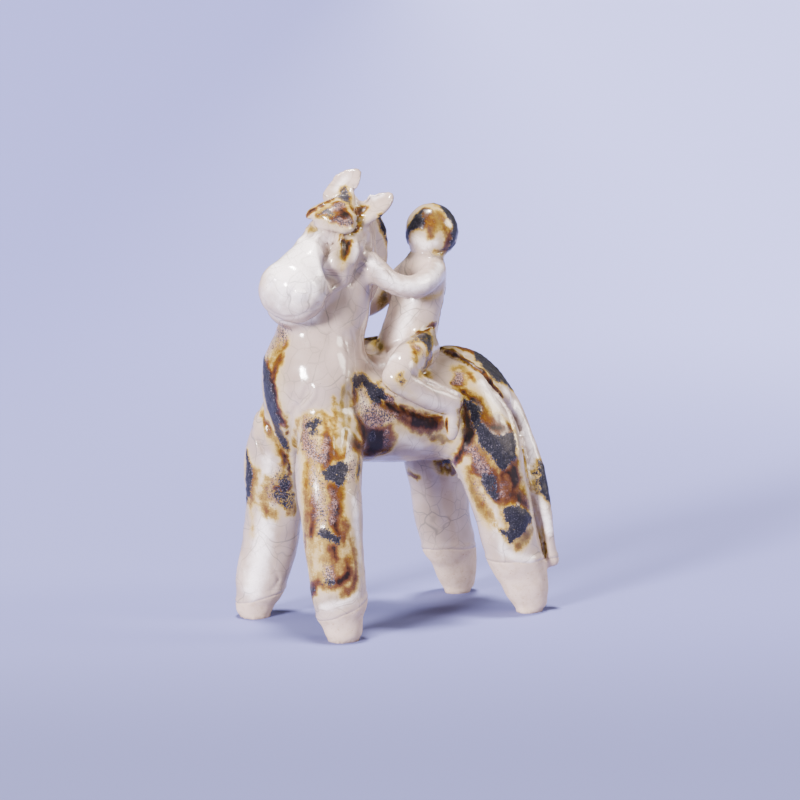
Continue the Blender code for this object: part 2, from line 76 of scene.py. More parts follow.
# Tool marks: width at half depth and depth, both in mm, then the line. A negative depth raises a ridge.
toolMarks = {
    "picture": {
        "dripBead": (2.4, -0.4, ((514, 512), (520, 519), (514, 531))),
        "mouth": (0.5, 0.14, ((263.5, 300), (267, 308), (274, 313.5), (283, 317), (292, 317), (302, 315),
            (310, 311), (318, 304.5))),
        "mouthTail": (0.6, 0.3, ((318, 304.5), (330, 297), (341, 290), (352, 283.5), (359, 272))),
        "nostrilLeft": (0.5, 0.16, ((291.5, 303), (290.2, 296), (293, 290.5), (299, 288.5), (305, 289.5),
            (309, 295), (308.5, 302))),
        "nostrilRight": (0.5, 0.12, ((268, 281), (267, 274), (271.5, 268), (277, 268), (280, 273))),
        "leftEye": (1.2, 0.35, ((348, 240), (347, 250), (344.5, 262))),
        "leftLid": (0.9, -0.3, ((355.5, 243), (358, 252), (353, 262))),
        "underForelock": (0.7, 0.65, ((305, 222), (311, 227.5), (320, 230.5), (331, 232.5), (343, 235.5),
            (351, 234), (357.5, 228), (359, 220))),
        "forelockRim": (0.7, -0.4, ((305, 219.5), (312, 223), (322, 226), (333, 229.5), (343, 231.5),
            (350, 230), (354.5, 224), (354.5, 216))),
        "forelockTopRim": (0.5, 0.3, ((309, 215.5), (317, 209.5), (326, 204), (335, 199.5))),
        "earFork": (0.6, 0.6, ((354.5, 186), (356.5, 193), (357.5, 202), (357, 210))),
        "earForelock": (0.5, 0.4, ((325, 200), (332, 197), (340, 192), (347, 188.5))),
        "leftEarHollow": (2, 0.7, ((362, 206), (369, 199), (377, 194), (382, 191.5))),
        "cheekHollow": (2.9, 3.8, ((330, 242), (331.5, 254), (333, 264), (336, 274), (339, 282))),
        "browHollow": (1.6, 0.5, ((300, 232), (313, 236), (324, 240))),
        "maneEdge": (0.5, 0.4, ((376, 216), (379.5, 224), (385, 236), (387.5, 246))),
        "jaw": (0.9, 0.35, ((352, 283), (357, 273), (360, 262), (361, 252))),
        "handTop": (0.5, 0.35, ((371, 258), (376, 263), (384, 267))),
        "fingerOne": (0.4, 0.3, ((363, 258), (368, 262))),
        "fingerTwo": (0.4, 0.3, ((361, 264), (367, 268))),
        "fingerThree": (0.4, 0.3, ((361, 270), (367, 274))),
        "armUnder": (0.5, 0.35, ((385, 290), (393, 292.5), (402, 297), (410, 298.5), (422, 298.5),
            (432, 296), (442, 291.5))),
        "childNeck": (0.55, 0.4, ((408, 250), (412, 252.8), (424, 253.2), (436, 253), (444, 251))),
        "childShoulderBack": (0.5, 0.25, ((447.5, 256), (449.5, 264), (448.5, 276))),
        "waist": (0.6, 0.35, ((407, 339.5), (415, 335.5), (423, 331), (432, 326))),
        "thighTop": (0.6, 0.45, ((381, 357), (386, 351), (394, 345.5), (404, 340.5))),
        "legBend": (0.7, 0.5, ((414, 374), (420, 377), (428, 382), (436, 386))),
        "shinTop": (0.6, 0.5, ((428, 382), (440, 387), (450, 390.5), (459, 395))),
        "shinUnder": (0.6, 0.5, ((380, 397), (392, 402), (407, 409), (422, 415), (437, 416), (446, 416))),
        "heelBack": (0.6, 0.5, ((461, 397), (463.5, 404), (463, 414), (462, 424))),
        "pinchRidge": (0.8, -0.3, ((315.5, 387), (314, 396), (308, 404), (302, 410))),
        "pinchCrease": (0.8, 0.3, ((306.5, 390), (303, 399), (296, 408), (292, 416), (289, 428), (288, 440))),
        "shoulderFold": (0.6, 0.5, ((288, 414), (287.5, 425), (288.8, 440), (289.4, 455), (291, 470))),
        "farShoulderFold": (0.6, 0.5, ((263.5, 413), (268.5, 428), (276, 442), (284, 453), (287, 462))),
        "farLegFoldOne": (0.6, 0.3, ((252.5, 418), (256, 432), (261, 446), (268, 460))),
        "farLegFoldTwo": (0.6, 0.3, ((258, 440), (266, 455), (274, 470))),
        "farLegFoldRidge": (0.7, -0.25, ((253, 410), (254, 425), (258, 436), (264, 450))),
        "throatOne": (0.5, 0.14, ((352, 331), (356, 350), (357, 372))),
        "throatTwo": (0.5, 0.12, ((345, 335), (348, 355), (347, 380))),
        "throatThree": (0.6, 0.16, ((362, 330), (364, 347), (370, 362))),
        "legFrontCrease": (0.7, 0.25, ((334, 425), (336.5, 440), (336, 455))),
        "legFrontCreaseTwo": (0.6, 0.2, ((345, 431), (343, 446), (341, 456))),
        "farLegPleatOne": (0.6, 0.2, ((272, 567), (277, 574), (279, 580))),
        "farLegPleatTwo": (0.6, 0.2, ((279, 580), (275, 587), (271, 591))),
        "tailSeam": (0.7, 1.4, ((441, 349.5), (454, 357), (468, 363.5), (480, 371), (489, 380.5),
            (498, 391), (506, 402))),
        "tailGroove": (0.9, 1.3, ((506, 402), (514, 416), (519, 430), (522, 445), (525, 460), (528, 480),
            (533, 500), (539, 520), (543.5, 540), (546, 557))),
        "haunchEdge": (0.6, -0.4, ((496, 394), (503, 403), (509, 413), (513, 425), (516, 440), (518.5, 455))),
        "bellyEdge": (0.5, -0.25, ((447, 465), (453, 470), (459, 477))),
        "groin": (0.8, 0.4, ((462, 441), (456, 452), (450, 460), (446, 466))),
    },
}

# Splashes in painting order: kind, strength, soft edge in mm, then a brush line, whose spots have a radius as
# their third number, or the corners of a patch.
splashes = {
    "picture": {
        # slip patches: whiter slip and painted highlight, lighter on the lit tops, fronts and left sides, and
        # on the tail and rump against their shade
        "muzzleSlipHighlight": ("slip", 1, 4.5, ((266, 262), (280, 246), (300, 234), (318, 240), (326, 256),
            (326, 276), (318, 296), (300, 306), (280, 304), (266, 290))),
        "browSlipHighlight": ("slip", 0.6, 3, ((318, 232, 4), (330, 240, 4))),
        "eyeRidgeSlipHighlight": ("slip", 0.7, 2, ((356, 246, 3), (355, 256, 3))),
        "armSlipHighlight": ("slip", 1, 2.4, ((372, 262, 3), (384, 276, 4), (400, 285, 4.5), (418, 286, 5),
            (434, 278, 5), (441, 266, 4))),
        "headSlipHighlight": ("slip", 1, 2.6, ((416, 238, 4), (424, 244, 5), (434, 242, 4))),
        "trunkSlipHighlight": ("slip", 0.6, 3, ((412, 302, 6), (406, 320, 7), (400, 336, 5))),
        "kneeSlipHighlight": ("slip", 0.6, 2.4, ((388, 362, 5), (394, 356, 4))),
        "shinSlipHighlight": ("slip", 0.35, 2.4, ((400, 392, 4), (425, 398, 5), (450, 408, 4), (454, 428, 3))),
        "farLegSlipHighlight": ("slip", 0.9, 4, ((268, 460, 4), (264, 530, 8), (258, 565, 9), (252, 590, 8))),
        "nearLegSlipHighlight": ("slip", 0.8, 2.4, ((354, 500, 4), (357, 530, 4), (360, 560, 3))),
        "nearHemSlipHighlight": ("slip", 0.7, 2, ((322, 606, 4), (340, 604, 4), (356, 594, 3))),
        "bellySlipHighlight": ("slip", 0.5, 2.6, ((402, 438, 6), (420, 446, 6))),
        "tailSlipHighlight": ("slip", 1, 2, ((500, 384, 3), (515, 405, 4), (530, 440, 4), (541, 500, 4),
            (550, 530, 4.5))),
        "rumpSlipHighlight": ("slip", 0.7, 2.6, ((462, 357, 3), (474, 370, 4), (486, 388, 5), (497, 404, 5),
            (508, 420, 3))),
        "earSlipHighlight": ("slip", 0.7, 2, ((345, 178, 4), (336, 190, 3), (372, 196, 4), (380, 190, 3))),
        "thighSlipHighlight": ("slip", 0.6, 2, ((492, 510, 3), (500, 535, 5), (505, 552, 5), (530, 560, 4))),
        "forelockWash": ("iron", 0.5, 2, ((318, 215, 3), (326, 213, 4), (336, 210, 6), (343, 212, 7),
            (346, 219, 5), (336, 219, 4))),
        "forelockMiddleCrumbs": ("crumbs", 0.7, 1.8, ((327, 213, 2.4), (335, 208, 3), (341, 204, 3))),
        "forelockEdge": ("iron", 0.85, 0.9, ((304.5, 216.5, 1.8), (308.5, 213.5, 2.4), (315, 208.5, 2.2),
            (323, 204, 1.8), (331, 199.5, 1.6), (336, 196.5, 1.2))),
        "forelockTopCrust": ("crust", 0.85, 1.4, ((336, 197.5), (341, 192.5), (346.8, 189), (349.3, 194),
            (349.8, 200), (349.3, 203.5), (345.2, 202.5), (341, 198.5))),
        "forelockTopMaroon": ("iron", 0.94, 1.6, ((346, 197.5, 3),)),
        "forelockRust": ("iron", 0.91, 1.6, ((338, 206, 3), (339.5, 203, 2.1))),
        "forelockAmber": ("iron", 0.78, 2.1, ((337, 203, 3.4), (340.5, 210, 4.4), (342, 215, 4),
            (347, 214, 3.4))),
        "forelockLeftCrust": ("crust", 0.75, 1.4, ((318.5, 214), (321.8, 210), (328.5, 208.3),
            (333.5, 211.7), (336, 215), (332.7, 218), (328.5, 217.5), (327.3, 214), (324.3, 212.5),
            (321.8, 215))),
        "forelockLeftTint": ("iron", 0.29, 2.1, ((324, 208, 2.3), (331, 207.5, 2.3))),
        "forelockRightCrumbs": ("crumbs", 0.94, 1.9, ((341.4, 222.5, 3.1), (347.7, 222.5, 5.2))),
        "forelockRightRust": ("iron", 0.9, 2.1, ((333, 220, 2.6), (341, 219, 4), (346, 216.5, 4),
            (349, 221.5, 5))),
        "forelockFaintCrumbs": ("crumbs", 0.58, 2.7, ((331.8, 224, 3.1), (338, 222, 2.6))),
        "forelockRim": ("clear", 1, 0.5, ((316, 219.5, 1), (326, 222.5, 1), (333, 228, 1.3),
            (343, 230.5, 1.4), (350, 228.5, 1.4), (354.3, 222, 1.2))),
        "underLeftEar": ("iron", 0.94, 2.1, ((353.5, 210.5, 2.3), (357.5, 214.5, 3.2), (361, 210.5, 3),
            (363.5, 208.5, 2.5))),
        "underLeftEarOlive": ("iron", 0.58, 2.4, ((358, 219, 3.2), (358.5, 225, 3))),
        # under the forelock: painted shadow line below its rim, in dark iron
        "underForelock": ("iron", 0.8, 1, ((342, 235.6, 1.2), (349, 234.6, 1.3), (355, 230, 1.4),
            (357.5, 226, 1.2))),
        "underForelockOlive": ("olive", 1, 2.5, ((309.5, 227, 2.6), (313, 229.5, 3.4), (320, 230.5, 2.2),
            (330, 232, 1))),
        "underForelockStraw": ("iron", 0.34, 2.4, ((311, 228.5, 3.2), (316, 230, 2.8))),
        # olive glaze left of the eye, which also stands as painted shade on the cheek
        "leftEyeOliveAndShade": ("olive", 1, 3.4, ((340, 246, 3), (338.5, 254, 4), (340, 263, 2.6), (341, 270, 1.6))),
        "leftEyeBrown": ("iron", 0.85, 1.6, ((346.5, 243, 3), (346, 249, 3.2), (345, 255, 2.6),
            (344.5, 259, 1.6))),
        "leftEyeTop": ("iron", 1, 1.2, ((343, 241.5, 2), (349, 242, 2.2), (348, 245, 1.8))),
        "leftEyeDark": ("iron", 1, 1.2, ((343.5, 243.5, 2.4), (344.5, 249, 2.6), (344, 254, 1.8))),
        "leftEyeTail": ("iron", 0.22, 2.4, ((343, 263, 2), (341.5, 268, 1.6))),
        "maneCrust": ("crust", 1, 0.6, ((378.5, 213.8), (382.5, 216.3), (385.3, 224.5), (389, 237.5),
            (387.9, 239.6), (384.3, 234.2), (380.2, 225))),
        "earClean": ("clear", 1, 0.8, ((363, 199, 4.5), (370, 194, 6), (378, 188, 6))),
        "bandCream": ("iron", 0.3, 3.9, ((281, 336, 5.8), (278, 348, 7.5), (273, 362, 7.9))),
        "bandTopCrust": ("crumbs", 1, 1.9, ((277, 329), (280, 326), (285, 325.5), (288, 331),
            (286.5, 337.5), (281, 338.5), (277, 335))),
        "bandEdgeGrain": ("crumbs", 0.85, 1.9, ((272, 331, 2.1), (269.5, 337, 2.6), (267.5, 344, 1.8))),
        "bandCrumbs": ("crumbs", 0.61, 3.4, ((281, 341, 3.9), (275, 345, 5.2), (269, 350, 5.2),
            (267, 358, 4.2))),
        "bandRightLine": ("iron", 0.45, 1.8, ((286.5, 342.5, 1.9), (283.5, 349, 2.1), (280.5, 355, 2.5))),
        "bandAmber": ("iron", 0.62, 2.3, ((280.5, 354, 4.2), (278, 361.5, 5.2), (275.5, 369, 4.5),
            (274, 377, 4))),
        "bandAmberLow": ("iron", 0.5, 2.3, ((274, 371, 3.4), (273, 377, 3))),
        "bandRedBrown": ("iron", 0.73, 2.4, ((267, 361, 2.5), (267.5, 368, 3.7), (269, 375, 3.7))),
        "bandBrown": ("iron", 0.92, 2.3, ((269, 376, 4.6), (272.5, 388, 4.8), (274, 399, 4.6),
            (276.5, 410, 4.6), (280, 418, 4.2), (284, 421, 2.6))),
        "bandOliveEdge": ("iron", 0.4, 2.4, ((274.5, 384, 2.1), (276, 398, 2.3), (279.5, 409, 2.8),
            (284, 416, 2.3))),
        "bandFill": ("iron", 0.85, 2.4, ((267, 368, 5), (270, 384, 6), (273, 400, 6), (276.5, 412, 5.4),
            (281, 423, 4))),
        "bandCrust": ("crust", 1, 1.6, ((263, 354, 3), (264.5, 366, 6), (266, 378, 8), (268, 390, 10),
            (270, 402, 10.5), (272.5, 413, 9.5), (276, 424, 7.5), (280.5, 434, 5.4), (284.5, 442.5, 3.6),
            (288, 449, 2))),
        "bandTailAmber": ("iron", 0.67, 2.1, ((263, 412, 1.6), (266, 421, 3), (269, 429, 3.7),
            (271.5, 434, 2.8))),
        "bandTailOchre": ("iron", 0.45, 2.3, ((273, 437, 2.8), (277.5, 445.5, 3.2), (283, 453.5, 3.2))),
        "shoulderSeamBrown": ("iron", 0.45, 0.8, ((286.5, 417, 0.9), (287.3, 430, 1), (287.6, 446, 1))),
        "shoulderWash": ("iron", 0.19, 5.2, ((305, 425, 8.1), (310, 445, 9.3), (316, 465, 9.3))),
        "shoulderRing": ("iron", 0.33, 2.1, ((299, 420, 1.4), (304, 416, 1.9), (313, 413.8, 2.1),
            (322, 413.5, 2.5), (326.5, 417, 3.2))),
        "shoulderLeftEdge": ("iron", 0.41, 2.1, ((298.3, 422, 1.6), (295.5, 434, 1.9), (294, 446, 1.9),
            (297.5, 451, 1.9))),
        "shoulderCrumbs": ("crumbs", 0.8, 4, ((308, 424, 8), (305, 436, 8), (310, 447, 8), (317, 456, 6))),
        "shoulderRust": ("iron", 0.56, 2.8, ((302.5, 434, 2.5), (307, 445, 3.2), (312, 448, 2.5))),
        "shoulderUnder": ("iron", 0.42, 3.5, ((305, 425, 6), (305, 437, 7), (310, 449, 7), (320, 460, 6),
            (327, 450, 5))),
        "shoulderCrust": ("crust", 1, 2.6, ((309, 425, 4.4), (315, 422.5, 5.2), (313, 431, 5))),
        "shoulderRightWash": ("iron", 0.52, 3.1, ((327.5, 420, 3.7), (328, 432, 4.8), (327.5, 446, 5.5),
            (327, 458, 5.5))),
        "shoulderRightRust": ("iron", 0.94, 2.3, ((328.5, 436, 2.5), (328.5, 447, 3.9), (327, 458, 4.3),
            (325, 467, 3.7))),
        "shoulderRightCrumbs": ("crumbs", 0.61, 2.7, ((325.5, 441, 2.9), (324.5, 452, 3.4), (323, 462, 3.6))),
        "creaseOlive": ("olive", 1, 4, ((352, 372, 4), (346, 390, 7), (345, 410, 9), (346, 428, 8),
            (341, 443, 6))),
        "creaseOliveDark": ("olive", 1, 2.2, ((356, 423, 2.2), (356.5, 431, 2.8), (352, 437, 2))),
        "creaseRunOne": ("iron", 0.42, 1.6, ((334, 398, 1.3), (335.5, 415, 1.9), (334.5, 430, 2.1),
            (334, 444, 2.1))),
        "creaseRunTwo": ("iron", 0.38, 1.4, ((343, 386, 1.1), (342.5, 404, 1.4), (343.5, 422, 1.6),
            (344, 438, 1.9))),
        "creaseRunThree": ("iron", 0.38, 1.4, ((349.5, 392, 1), (350.5, 410, 1.3), (349, 428, 1.6))),
        "creaseFoot": ("iron", 0.65, 2.4, ((334, 452, 3), (340, 458.5, 3.4), (346, 455, 3.2), (349, 448, 3))),
        "creaseRidgeClean": ("clear", 0.8, 0.9, ((327.5, 418, 0.9), (331, 432, 1.1), (334, 446, 1.1))),
        "kneeCrust": ("crust", 1, 1.2, ((321.8, 471), (326, 468), (332, 464), (340, 460.8), (347.8, 463.5),
            (348, 470), (346.5, 477), (343, 486.5), (337.5, 485), (331.4, 481.5), (324, 478.5))),
        "kneeCrustRight": ("crumbs", 0.77, 2.3, ((349, 466, 3.1), (351.5, 473, 3.1), (348, 480, 2.1))),
        "legWash": ("iron", 0.22, 3.9, ((306, 458), (318, 466), (330, 480), (342, 488), (342, 505),
            (349, 520), (355, 535), (357, 560), (356, 582), (345, 592), (325, 588), (312, 592), (306, 575),
            (304, 550), (302, 520), (303, 490))),
        "legLeftOchre": ("iron", 0.47, 2.6, ((307.5, 462, 2.1), (306.5, 478, 2.8), (307, 495, 3.7),
            (308, 512, 4.3), (306.5, 530, 3.7), (305, 548, 2.5), (307, 562, 1.9))),
        "legLeftRust": ("iron", 0.86, 2.1, ((314, 500, 1.9), (313.8, 512, 2.8), (312.5, 524, 3.4),
            (310.8, 535, 3))),
        "legLeftSpot": ("crust", 0.85, 1.2, ((310.2, 536, 1.6),)),
        "legCentreCrumbs": ("crumbs", 0.71, 3.4, ((314.5, 472, 3.9), (317, 486, 5.2), (319.5, 500, 5.7),
            (321, 514, 5.7), (321.5, 526, 4.4))),
        "legRightRust": ("iron", 0.91, 2.3, ((333, 487, 3.9), (334, 500, 4.6), (334.5, 512, 4.8),
            (334.5, 524, 4.1), (337, 532, 3.2))),
        "legRightCrumbs": ("crumbs", 0.51, 3, ((332, 492, 3.1), (333, 506, 3.4), (333, 519, 3.1))),
        "legRightOchre": ("iron", 0.54, 2.3, ((341, 488, 3.2), (341, 500, 2.3), (340.5, 512, 2.3),
            (342, 520, 3.2), (343.5, 530, 3.7), (344, 541, 2.8))),
        "legRightEdgeLine": ("iron", 0.58, 1.6, ((345, 519, 1.4), (347.5, 527, 1.6), (346, 537, 1.4),
            (343, 545, 1.4))),
        "shinCrust": ("crust", 0.95, 1.2, ((320, 529), (324, 527.5), (329.5, 528), (333, 533), (337.8, 538),
            (338.5, 544), (333, 543.5), (327, 540.5), (321.5, 537))),
        "shinRed": ("iron", 0.94, 1.8, ((333.5, 547, 2.8), (335, 553, 3.2), (336.5, 559, 2.1))),
        "shinOchre": ("iron", 0.54, 2.8, ((331, 552, 3.7), (332, 563, 4.1), (333, 573, 3.7))),
        "shinRightBand": ("iron", 0.52, 2.1, ((350, 540, 2.1), (353, 552, 2.5), (355.5, 562, 2.3),
            (356.5, 574, 2.3))),
        "shinPale": ("clear", 0.55, 1.8, ((315, 555, 4.6), (316, 568, 4.6))),
        "shinPaleRight": ("clear", 0.4, 1.4, ((343, 553, 3), (346, 563, 2.4))),
        "hoofRust": ("iron", 0.91, 2.4, ((346.5, 563, 3), (349.5, 571, 4.1), (345, 578, 4.1),
            (338, 582, 3.7))),
        "hoofRightAmber": ("iron", 0.69, 2.1, ((355.5, 578, 2.8), (353.5, 586, 3.4), (348, 591, 3.4),
            (343, 593.5, 2.5))),
        "hoofCrumbs": ("crumbs", 0.85, 2.3, ((328, 568, 3.9), (328.5, 575, 4.2))),
        "hoofCrust": ("crust", 0.92, 1.6, ((321.5, 583.5, 1.8), (327, 581.5, 3.2), (332.5, 583.5, 2.4))),
        "hoofAmberLine": ("iron", 0.67, 1.9, ((336, 586.5, 2.3), (328, 588, 1.9), (318, 582, 3),
            (311.5, 585, 3))),
        "hoofLeftBrown": ("iron", 1, 1.9, ((309, 583, 2.3), (310.5, 590, 3.7), (314.5, 590, 3.4),
            (310.5, 596.5, 2.8))),
        "hoofLeftCrust": ("crust", 0.7, 1.7, ((310, 589, 1.8), (315.5, 590.5, 2))),
        "hoofOlive": ("olive", 0.9, 2.5, ((312, 601, 2.2), (320, 602.5, 2.6), (331, 598, 2.2),
            (341, 597, 1.8))),
        "legWhiteSide": ("clear", 0.9, 1.2, ((351, 492, 5.4), (354, 506, 6), (356.5, 522, 5.6),
            (359.5, 538, 3.6))),
        "legTopPale": ("clear", 0.55, 1, ((354.5, 458, 2.2), (355.5, 468, 2))),
        "legRightEdgeCrust": ("crust", 0.8, 1.9, ((359.5, 461, 2.2), (358.6, 470, 2.8), (357.6, 479, 2.2))),
        "legTopCrumbs": ("crumbs", 0.68, 2.7, ((350, 452, 3.9), (353, 464, 3.9), (352, 476, 3.1))),
        "legTopRust": ("iron", 0.94, 2.8, ((348.5, 433, 2.3), (352, 440, 4.3), (357, 446, 5.9),
            (363, 450, 5.5))),
        "farLegEdgeCrust": ("crust", 1, 1, ((247, 452, 2), (248.5, 464, 4), (249, 476, 5), (248, 488, 4.4),
            (247, 500, 2.4))),
        "farLegEdgeOchre": ("iron", 0.47, 2.8, ((254.5, 470, 3.7), (252.5, 482, 4.1), (251, 494, 3.9),
            (250.5, 505, 2.8))),
        "farLegEdgeSpot": ("iron", 0.58, 1.8, ((256, 473.5, 2.5),)),
        "farLegSeam": ("iron", 0.75, 0.9, ((284.5, 456, 1.6), (288.5, 464, 1.6), (290, 474, 1.4))),
        "farLegTopAmber": ("iron", 0.58, 2.3, ((283, 452, 2.5), (284.5, 460, 3.2), (284, 466, 2.3))),
        "farLegCrumbs": ("crust", 0.64, 1.9, ((277.5, 475), (283.8, 471), (290, 478), (291.5, 487.5),
            (293.5, 497.5), (293.5, 508.8), (288.8, 512.5), (282.5, 507.5), (278.8, 501), (271.3, 499),
            (270.6, 492.5), (276.3, 486.3))),
        "farLegCoreBlack": ("iron", 1, 1.6, ((286.5, 488, 3.2), (277, 488, 2.1))),
        "farLegCoreAmber": ("iron", 0.69, 1.4, ((284.5, 495, 2.5),)),
        "farLegPeach": ("crumbs", 0.58, 2.7, ((280, 469, 3.1), (275.5, 474, 3.1), (268.5, 492, 3.1),
            (274, 504, 3.4))),
        "farLegOchreTop": ("iron", 0.41, 2.1, ((267, 477.5, 2.3), (272.5, 480.5, 2.3))),
        "farLegOchre": ("iron", 0.47, 3.1, ((268, 485, 2.8), (265, 494, 4.1), (263.5, 504, 4.3),
            (267.5, 512.5, 4.1), (275, 514, 3.2))),
        "farLegLowAmber": ("iron", 0.56, 2.3, ((288, 513.5, 2.8), (293.5, 510, 2.8))),
        "farLegRunFaint": ("iron", 0.19, 2.4, ((252, 515, 2.5), (252.5, 535, 2.1))),
        "breastPeach": ("crumbs", 0.58, 3, ((360, 389, 4.4), (364, 398, 5.2), (361, 406, 4.4))),
        "breastAmber": ("iron", 0.61, 2.4, ((354.5, 392, 3.2), (355.5, 401, 4.6), (356, 411, 4.3),
            (357.5, 418, 3.2))),
        "breastAmberLine": ("iron", 0.82, 0.9, ((353.6, 392.5, 1.4), (353.8, 402, 1.4), (354.8, 412, 1.4),
            (359, 421, 2), (363.5, 429, 2.6))),
        "breastCrust": ("crust", 0.97, 1.4, ((352, 376.9), (358, 373.8), (361.5, 373), (367.3, 377),
            (372, 383), (376.5, 387), (378, 383), (382, 380), (385.8, 383), (385, 388.5), (383.5, 394.6),
            (388, 397), (385, 400.8), (379.6, 402.3), (372, 403), (368, 398.5), (365.8, 392.3),
            (367, 387.5), (362, 384.5), (356.5, 388.5), (353.2, 388), (352, 382))),
        "breastLowCrumbs": ("crumbs", 0.99, 1.7, ((361, 410.8), (365, 406), (371, 405.4), (377.3, 404.6),
            (381, 408.5), (388, 413), (394, 413.8), (396.5, 417.7), (391, 420.8), (385, 423.8),
            (378.8, 426), (370.4, 427.3), (365, 423.8), (360.4, 417))),
        "breastLowMaroon": ("iron", 0.69, 3.5, ((366, 419, 4.3), (374, 414, 4.8), (380, 420, 4.3))),
        "breastDark": ("iron", 1, 3.1, ((360.4, 420.5), (369.6, 428), (378.8, 427), (385, 427), (388, 432),
            (388, 439), (387, 446), (381, 451), (374, 456), (368, 455.4), (364.5, 447), (362.7, 439),
            (358.8, 428.5))),
        "breastDarkCrust": ("crust", 0.74, 1.2, ((370, 434, 3), (372.5, 439.5, 3.4))),
        "breastRightAmber": ("iron", 0.67, 2.8, ((388.5, 428, 3.2), (391, 437, 4.3), (389.5, 446, 4.1),
            (384.5, 452, 3.4))),
        "breastRightCrumbs": ("crumbs", 0.61, 1.9, ((386.5, 430, 1.8), (386, 438, 2.1), (385, 446, 1.6))),
        # brown iron under the breast, darkened further as painted shadow
        "breastUnderBrownAndShadow": ("iron", 0.52, 3.9, ((372, 455, 4.3), (368, 459, 3))),
        "heelSpots": ("crust", 0.7, 1.6, ((387.5, 385.5, 1.6), (391.5, 387.5, 1.6))),
        "heelClean": ("clear", 1, 0.5, ((386.5, 391, 2.2), (391, 393.5, 2.4))),
        "heelRust": ("iron", 0.67, 1.6, ((385.5, 397, 1.9), (392.5, 398.5, 2.1), (396, 393, 1.6))),
        "heelCrumbs": ("crumbs", 0.85, 1.9, ((386, 398, 2.3), (392, 399.5, 2.3), (396, 395, 1.6))),
        "shinCreviceBlack": ("iron", 1, 0.8, ((379, 402.5, 1.6), (388, 404, 2.2), (396, 405.5, 2),
            (405, 410.5, 1.8), (416, 414, 1.6), (429, 416.5, 1.6), (441, 417.5, 1.6))),
        "underShinBrown": ("iron", 0.99, 2.6, ((379, 404), (390, 403.5), (400, 408), (411, 411.5),
            (423, 414.5), (436, 416.5), (444.5, 418), (443.5, 424), (440, 428), (433, 430.5),
            (423.5, 430.5), (412, 426), (406, 421.5), (398.8, 417), (388, 411.5), (381, 408))),
        "underShinAmber": ("clear", 0.42, 0.9, ((402.5, 414.8, 2), (410, 418.5, 1.8))),
        "underShinFringe": ("iron", 0.56, 2.1, ((401, 419.5, 2.3), (410, 426.5, 2.5), (421, 431.5, 2.8),
            (432, 433, 2.3))),
        "underShinOlive": ("iron", 0.34, 3.5, ((428, 434, 4.1), (436, 437, 4.8), (444, 439.5, 4.6),
            (450, 441, 3))),
        "underShinOlivePool": ("olive", 0.9, 2.8, ((430, 436, 3.4), (441, 439, 4), (449, 441, 2.6))),
        "underShinSpots": ("iron", 0.67, 1.6, ((433.5, 438.5, 2.8),)),
        "underShinSpotTwo": ("iron", 0.73, 1.6, ((444, 441.5, 2.5),)),
        "underShinStraw": ("iron", 0.26, 3.9, ((396, 421, 3.2), (402, 424, 3.2))),
        "cleanShin": ("clear", 1, 0.5, ((386, 372, 7), (393, 385, 5.6), (408, 397, 8), (424, 401.5, 8.6),
            (440, 405, 8.4), (450, 407, 7.2))),
        "cleanToe": ("clear", 1, 0.4, ((452, 412, 5), (453, 424, 4.6), (453.5, 436, 3.4))),
        "kneeDirt": ("iron", 0.15, 3.5, ((415, 398, 3.7), (395, 380, 3.7))),
        "groinCrust": ("crust", 0.85, 1.9, ((440, 460, 2.6), (446.5, 461, 3.4), (452, 463.5, 2.4))),
        "groinHalo": ("iron", 0.56, 2.8, ((438, 463, 3.7), (443, 467.5, 4.1), (449, 470, 3.2))),
        "groinRust": ("iron", 0.97, 1.9, ((454, 463.5, 3.2), (458, 457, 3.4), (461.5, 450.5, 3),
            (465, 444, 2.8))),
        "groinStreak": ("iron", 0.73, 1.8, ((406.5, 471.5, 1.6), (411, 474, 2.8), (416, 477, 2.1))),
        "rumpWash": ("iron", 0.15, 5.6, ((470, 385), (482, 392), (492, 402), (502, 412), (509, 424),
            (500, 430), (488, 424), (480, 412), (472, 402))),
        "rumpSpotHalo": ("iron", 0.34, 2.8, ((455, 369, 3.7), (461, 366.5, 3.7), (464, 372, 3.7),
            (462, 384, 3.7), (457, 390, 3))),
        "rumpSpotOlive": ("iron", 0.52, 2.1, ((468.5, 372.5, 2.8), (471, 376.5, 2.5), (474.5, 381, 1.6))),
        "rumpSpotMaroon": ("iron", 0.8, 2.1, ((459, 376, 3.7), (457, 382.5, 4.1))),
        "rumpSpot": ("crumbs", 0.85, 2.1, ((460, 374.5, 4.2), (456.5, 381, 3.9))),
        "rumpLine": ("iron", 0.85, 0.9, ((453, 383.5, 1.2), (457.7, 387.7, 1.5), (463.8, 392.5, 1.7),
            (468.5, 396.5, 1.6), (473, 400.5, 1.6), (478.5, 404, 1.5))),
        "rumpLineAmber": ("iron", 0.5, 2.4, ((466, 391, 2.5), (472, 397, 3), (479, 400.5, 2.5))),
        "rumpOchre": ("iron", 0.5, 3.4, ((480, 404, 4), (483, 412, 5.4), (487.5, 419, 6), (495, 423, 5))),
        "rumpAmber": ("iron", 0.85, 3.6, ((482, 421, 4), (488.5, 426.5, 5.6), (496, 430, 5.8),
            (504, 431, 5), (510, 429, 3))),
        "rumpDrip": ("iron", 0.67, 1.6, ((499, 414.5, 1.6), (499.5, 421, 2.1), (500.5, 429, 2.3))),
        "rumpDripRight": ("iron", 0.47, 2.4, ((505, 426.5, 3.4), (508.5, 424.5, 2.3), (510, 430, 2.5))),
        # dark brown iron band behind the heel, laid black as painted shadow of the heel
        "bandBehindHeelAndShadow": ("iron", 1, 1.8, ((463, 402), (468, 407), (471, 416), (473, 425), (475.5, 434),
            (473, 443), (467, 451), (461.5, 452), (463.5, 440), (464, 425), (463, 412))),
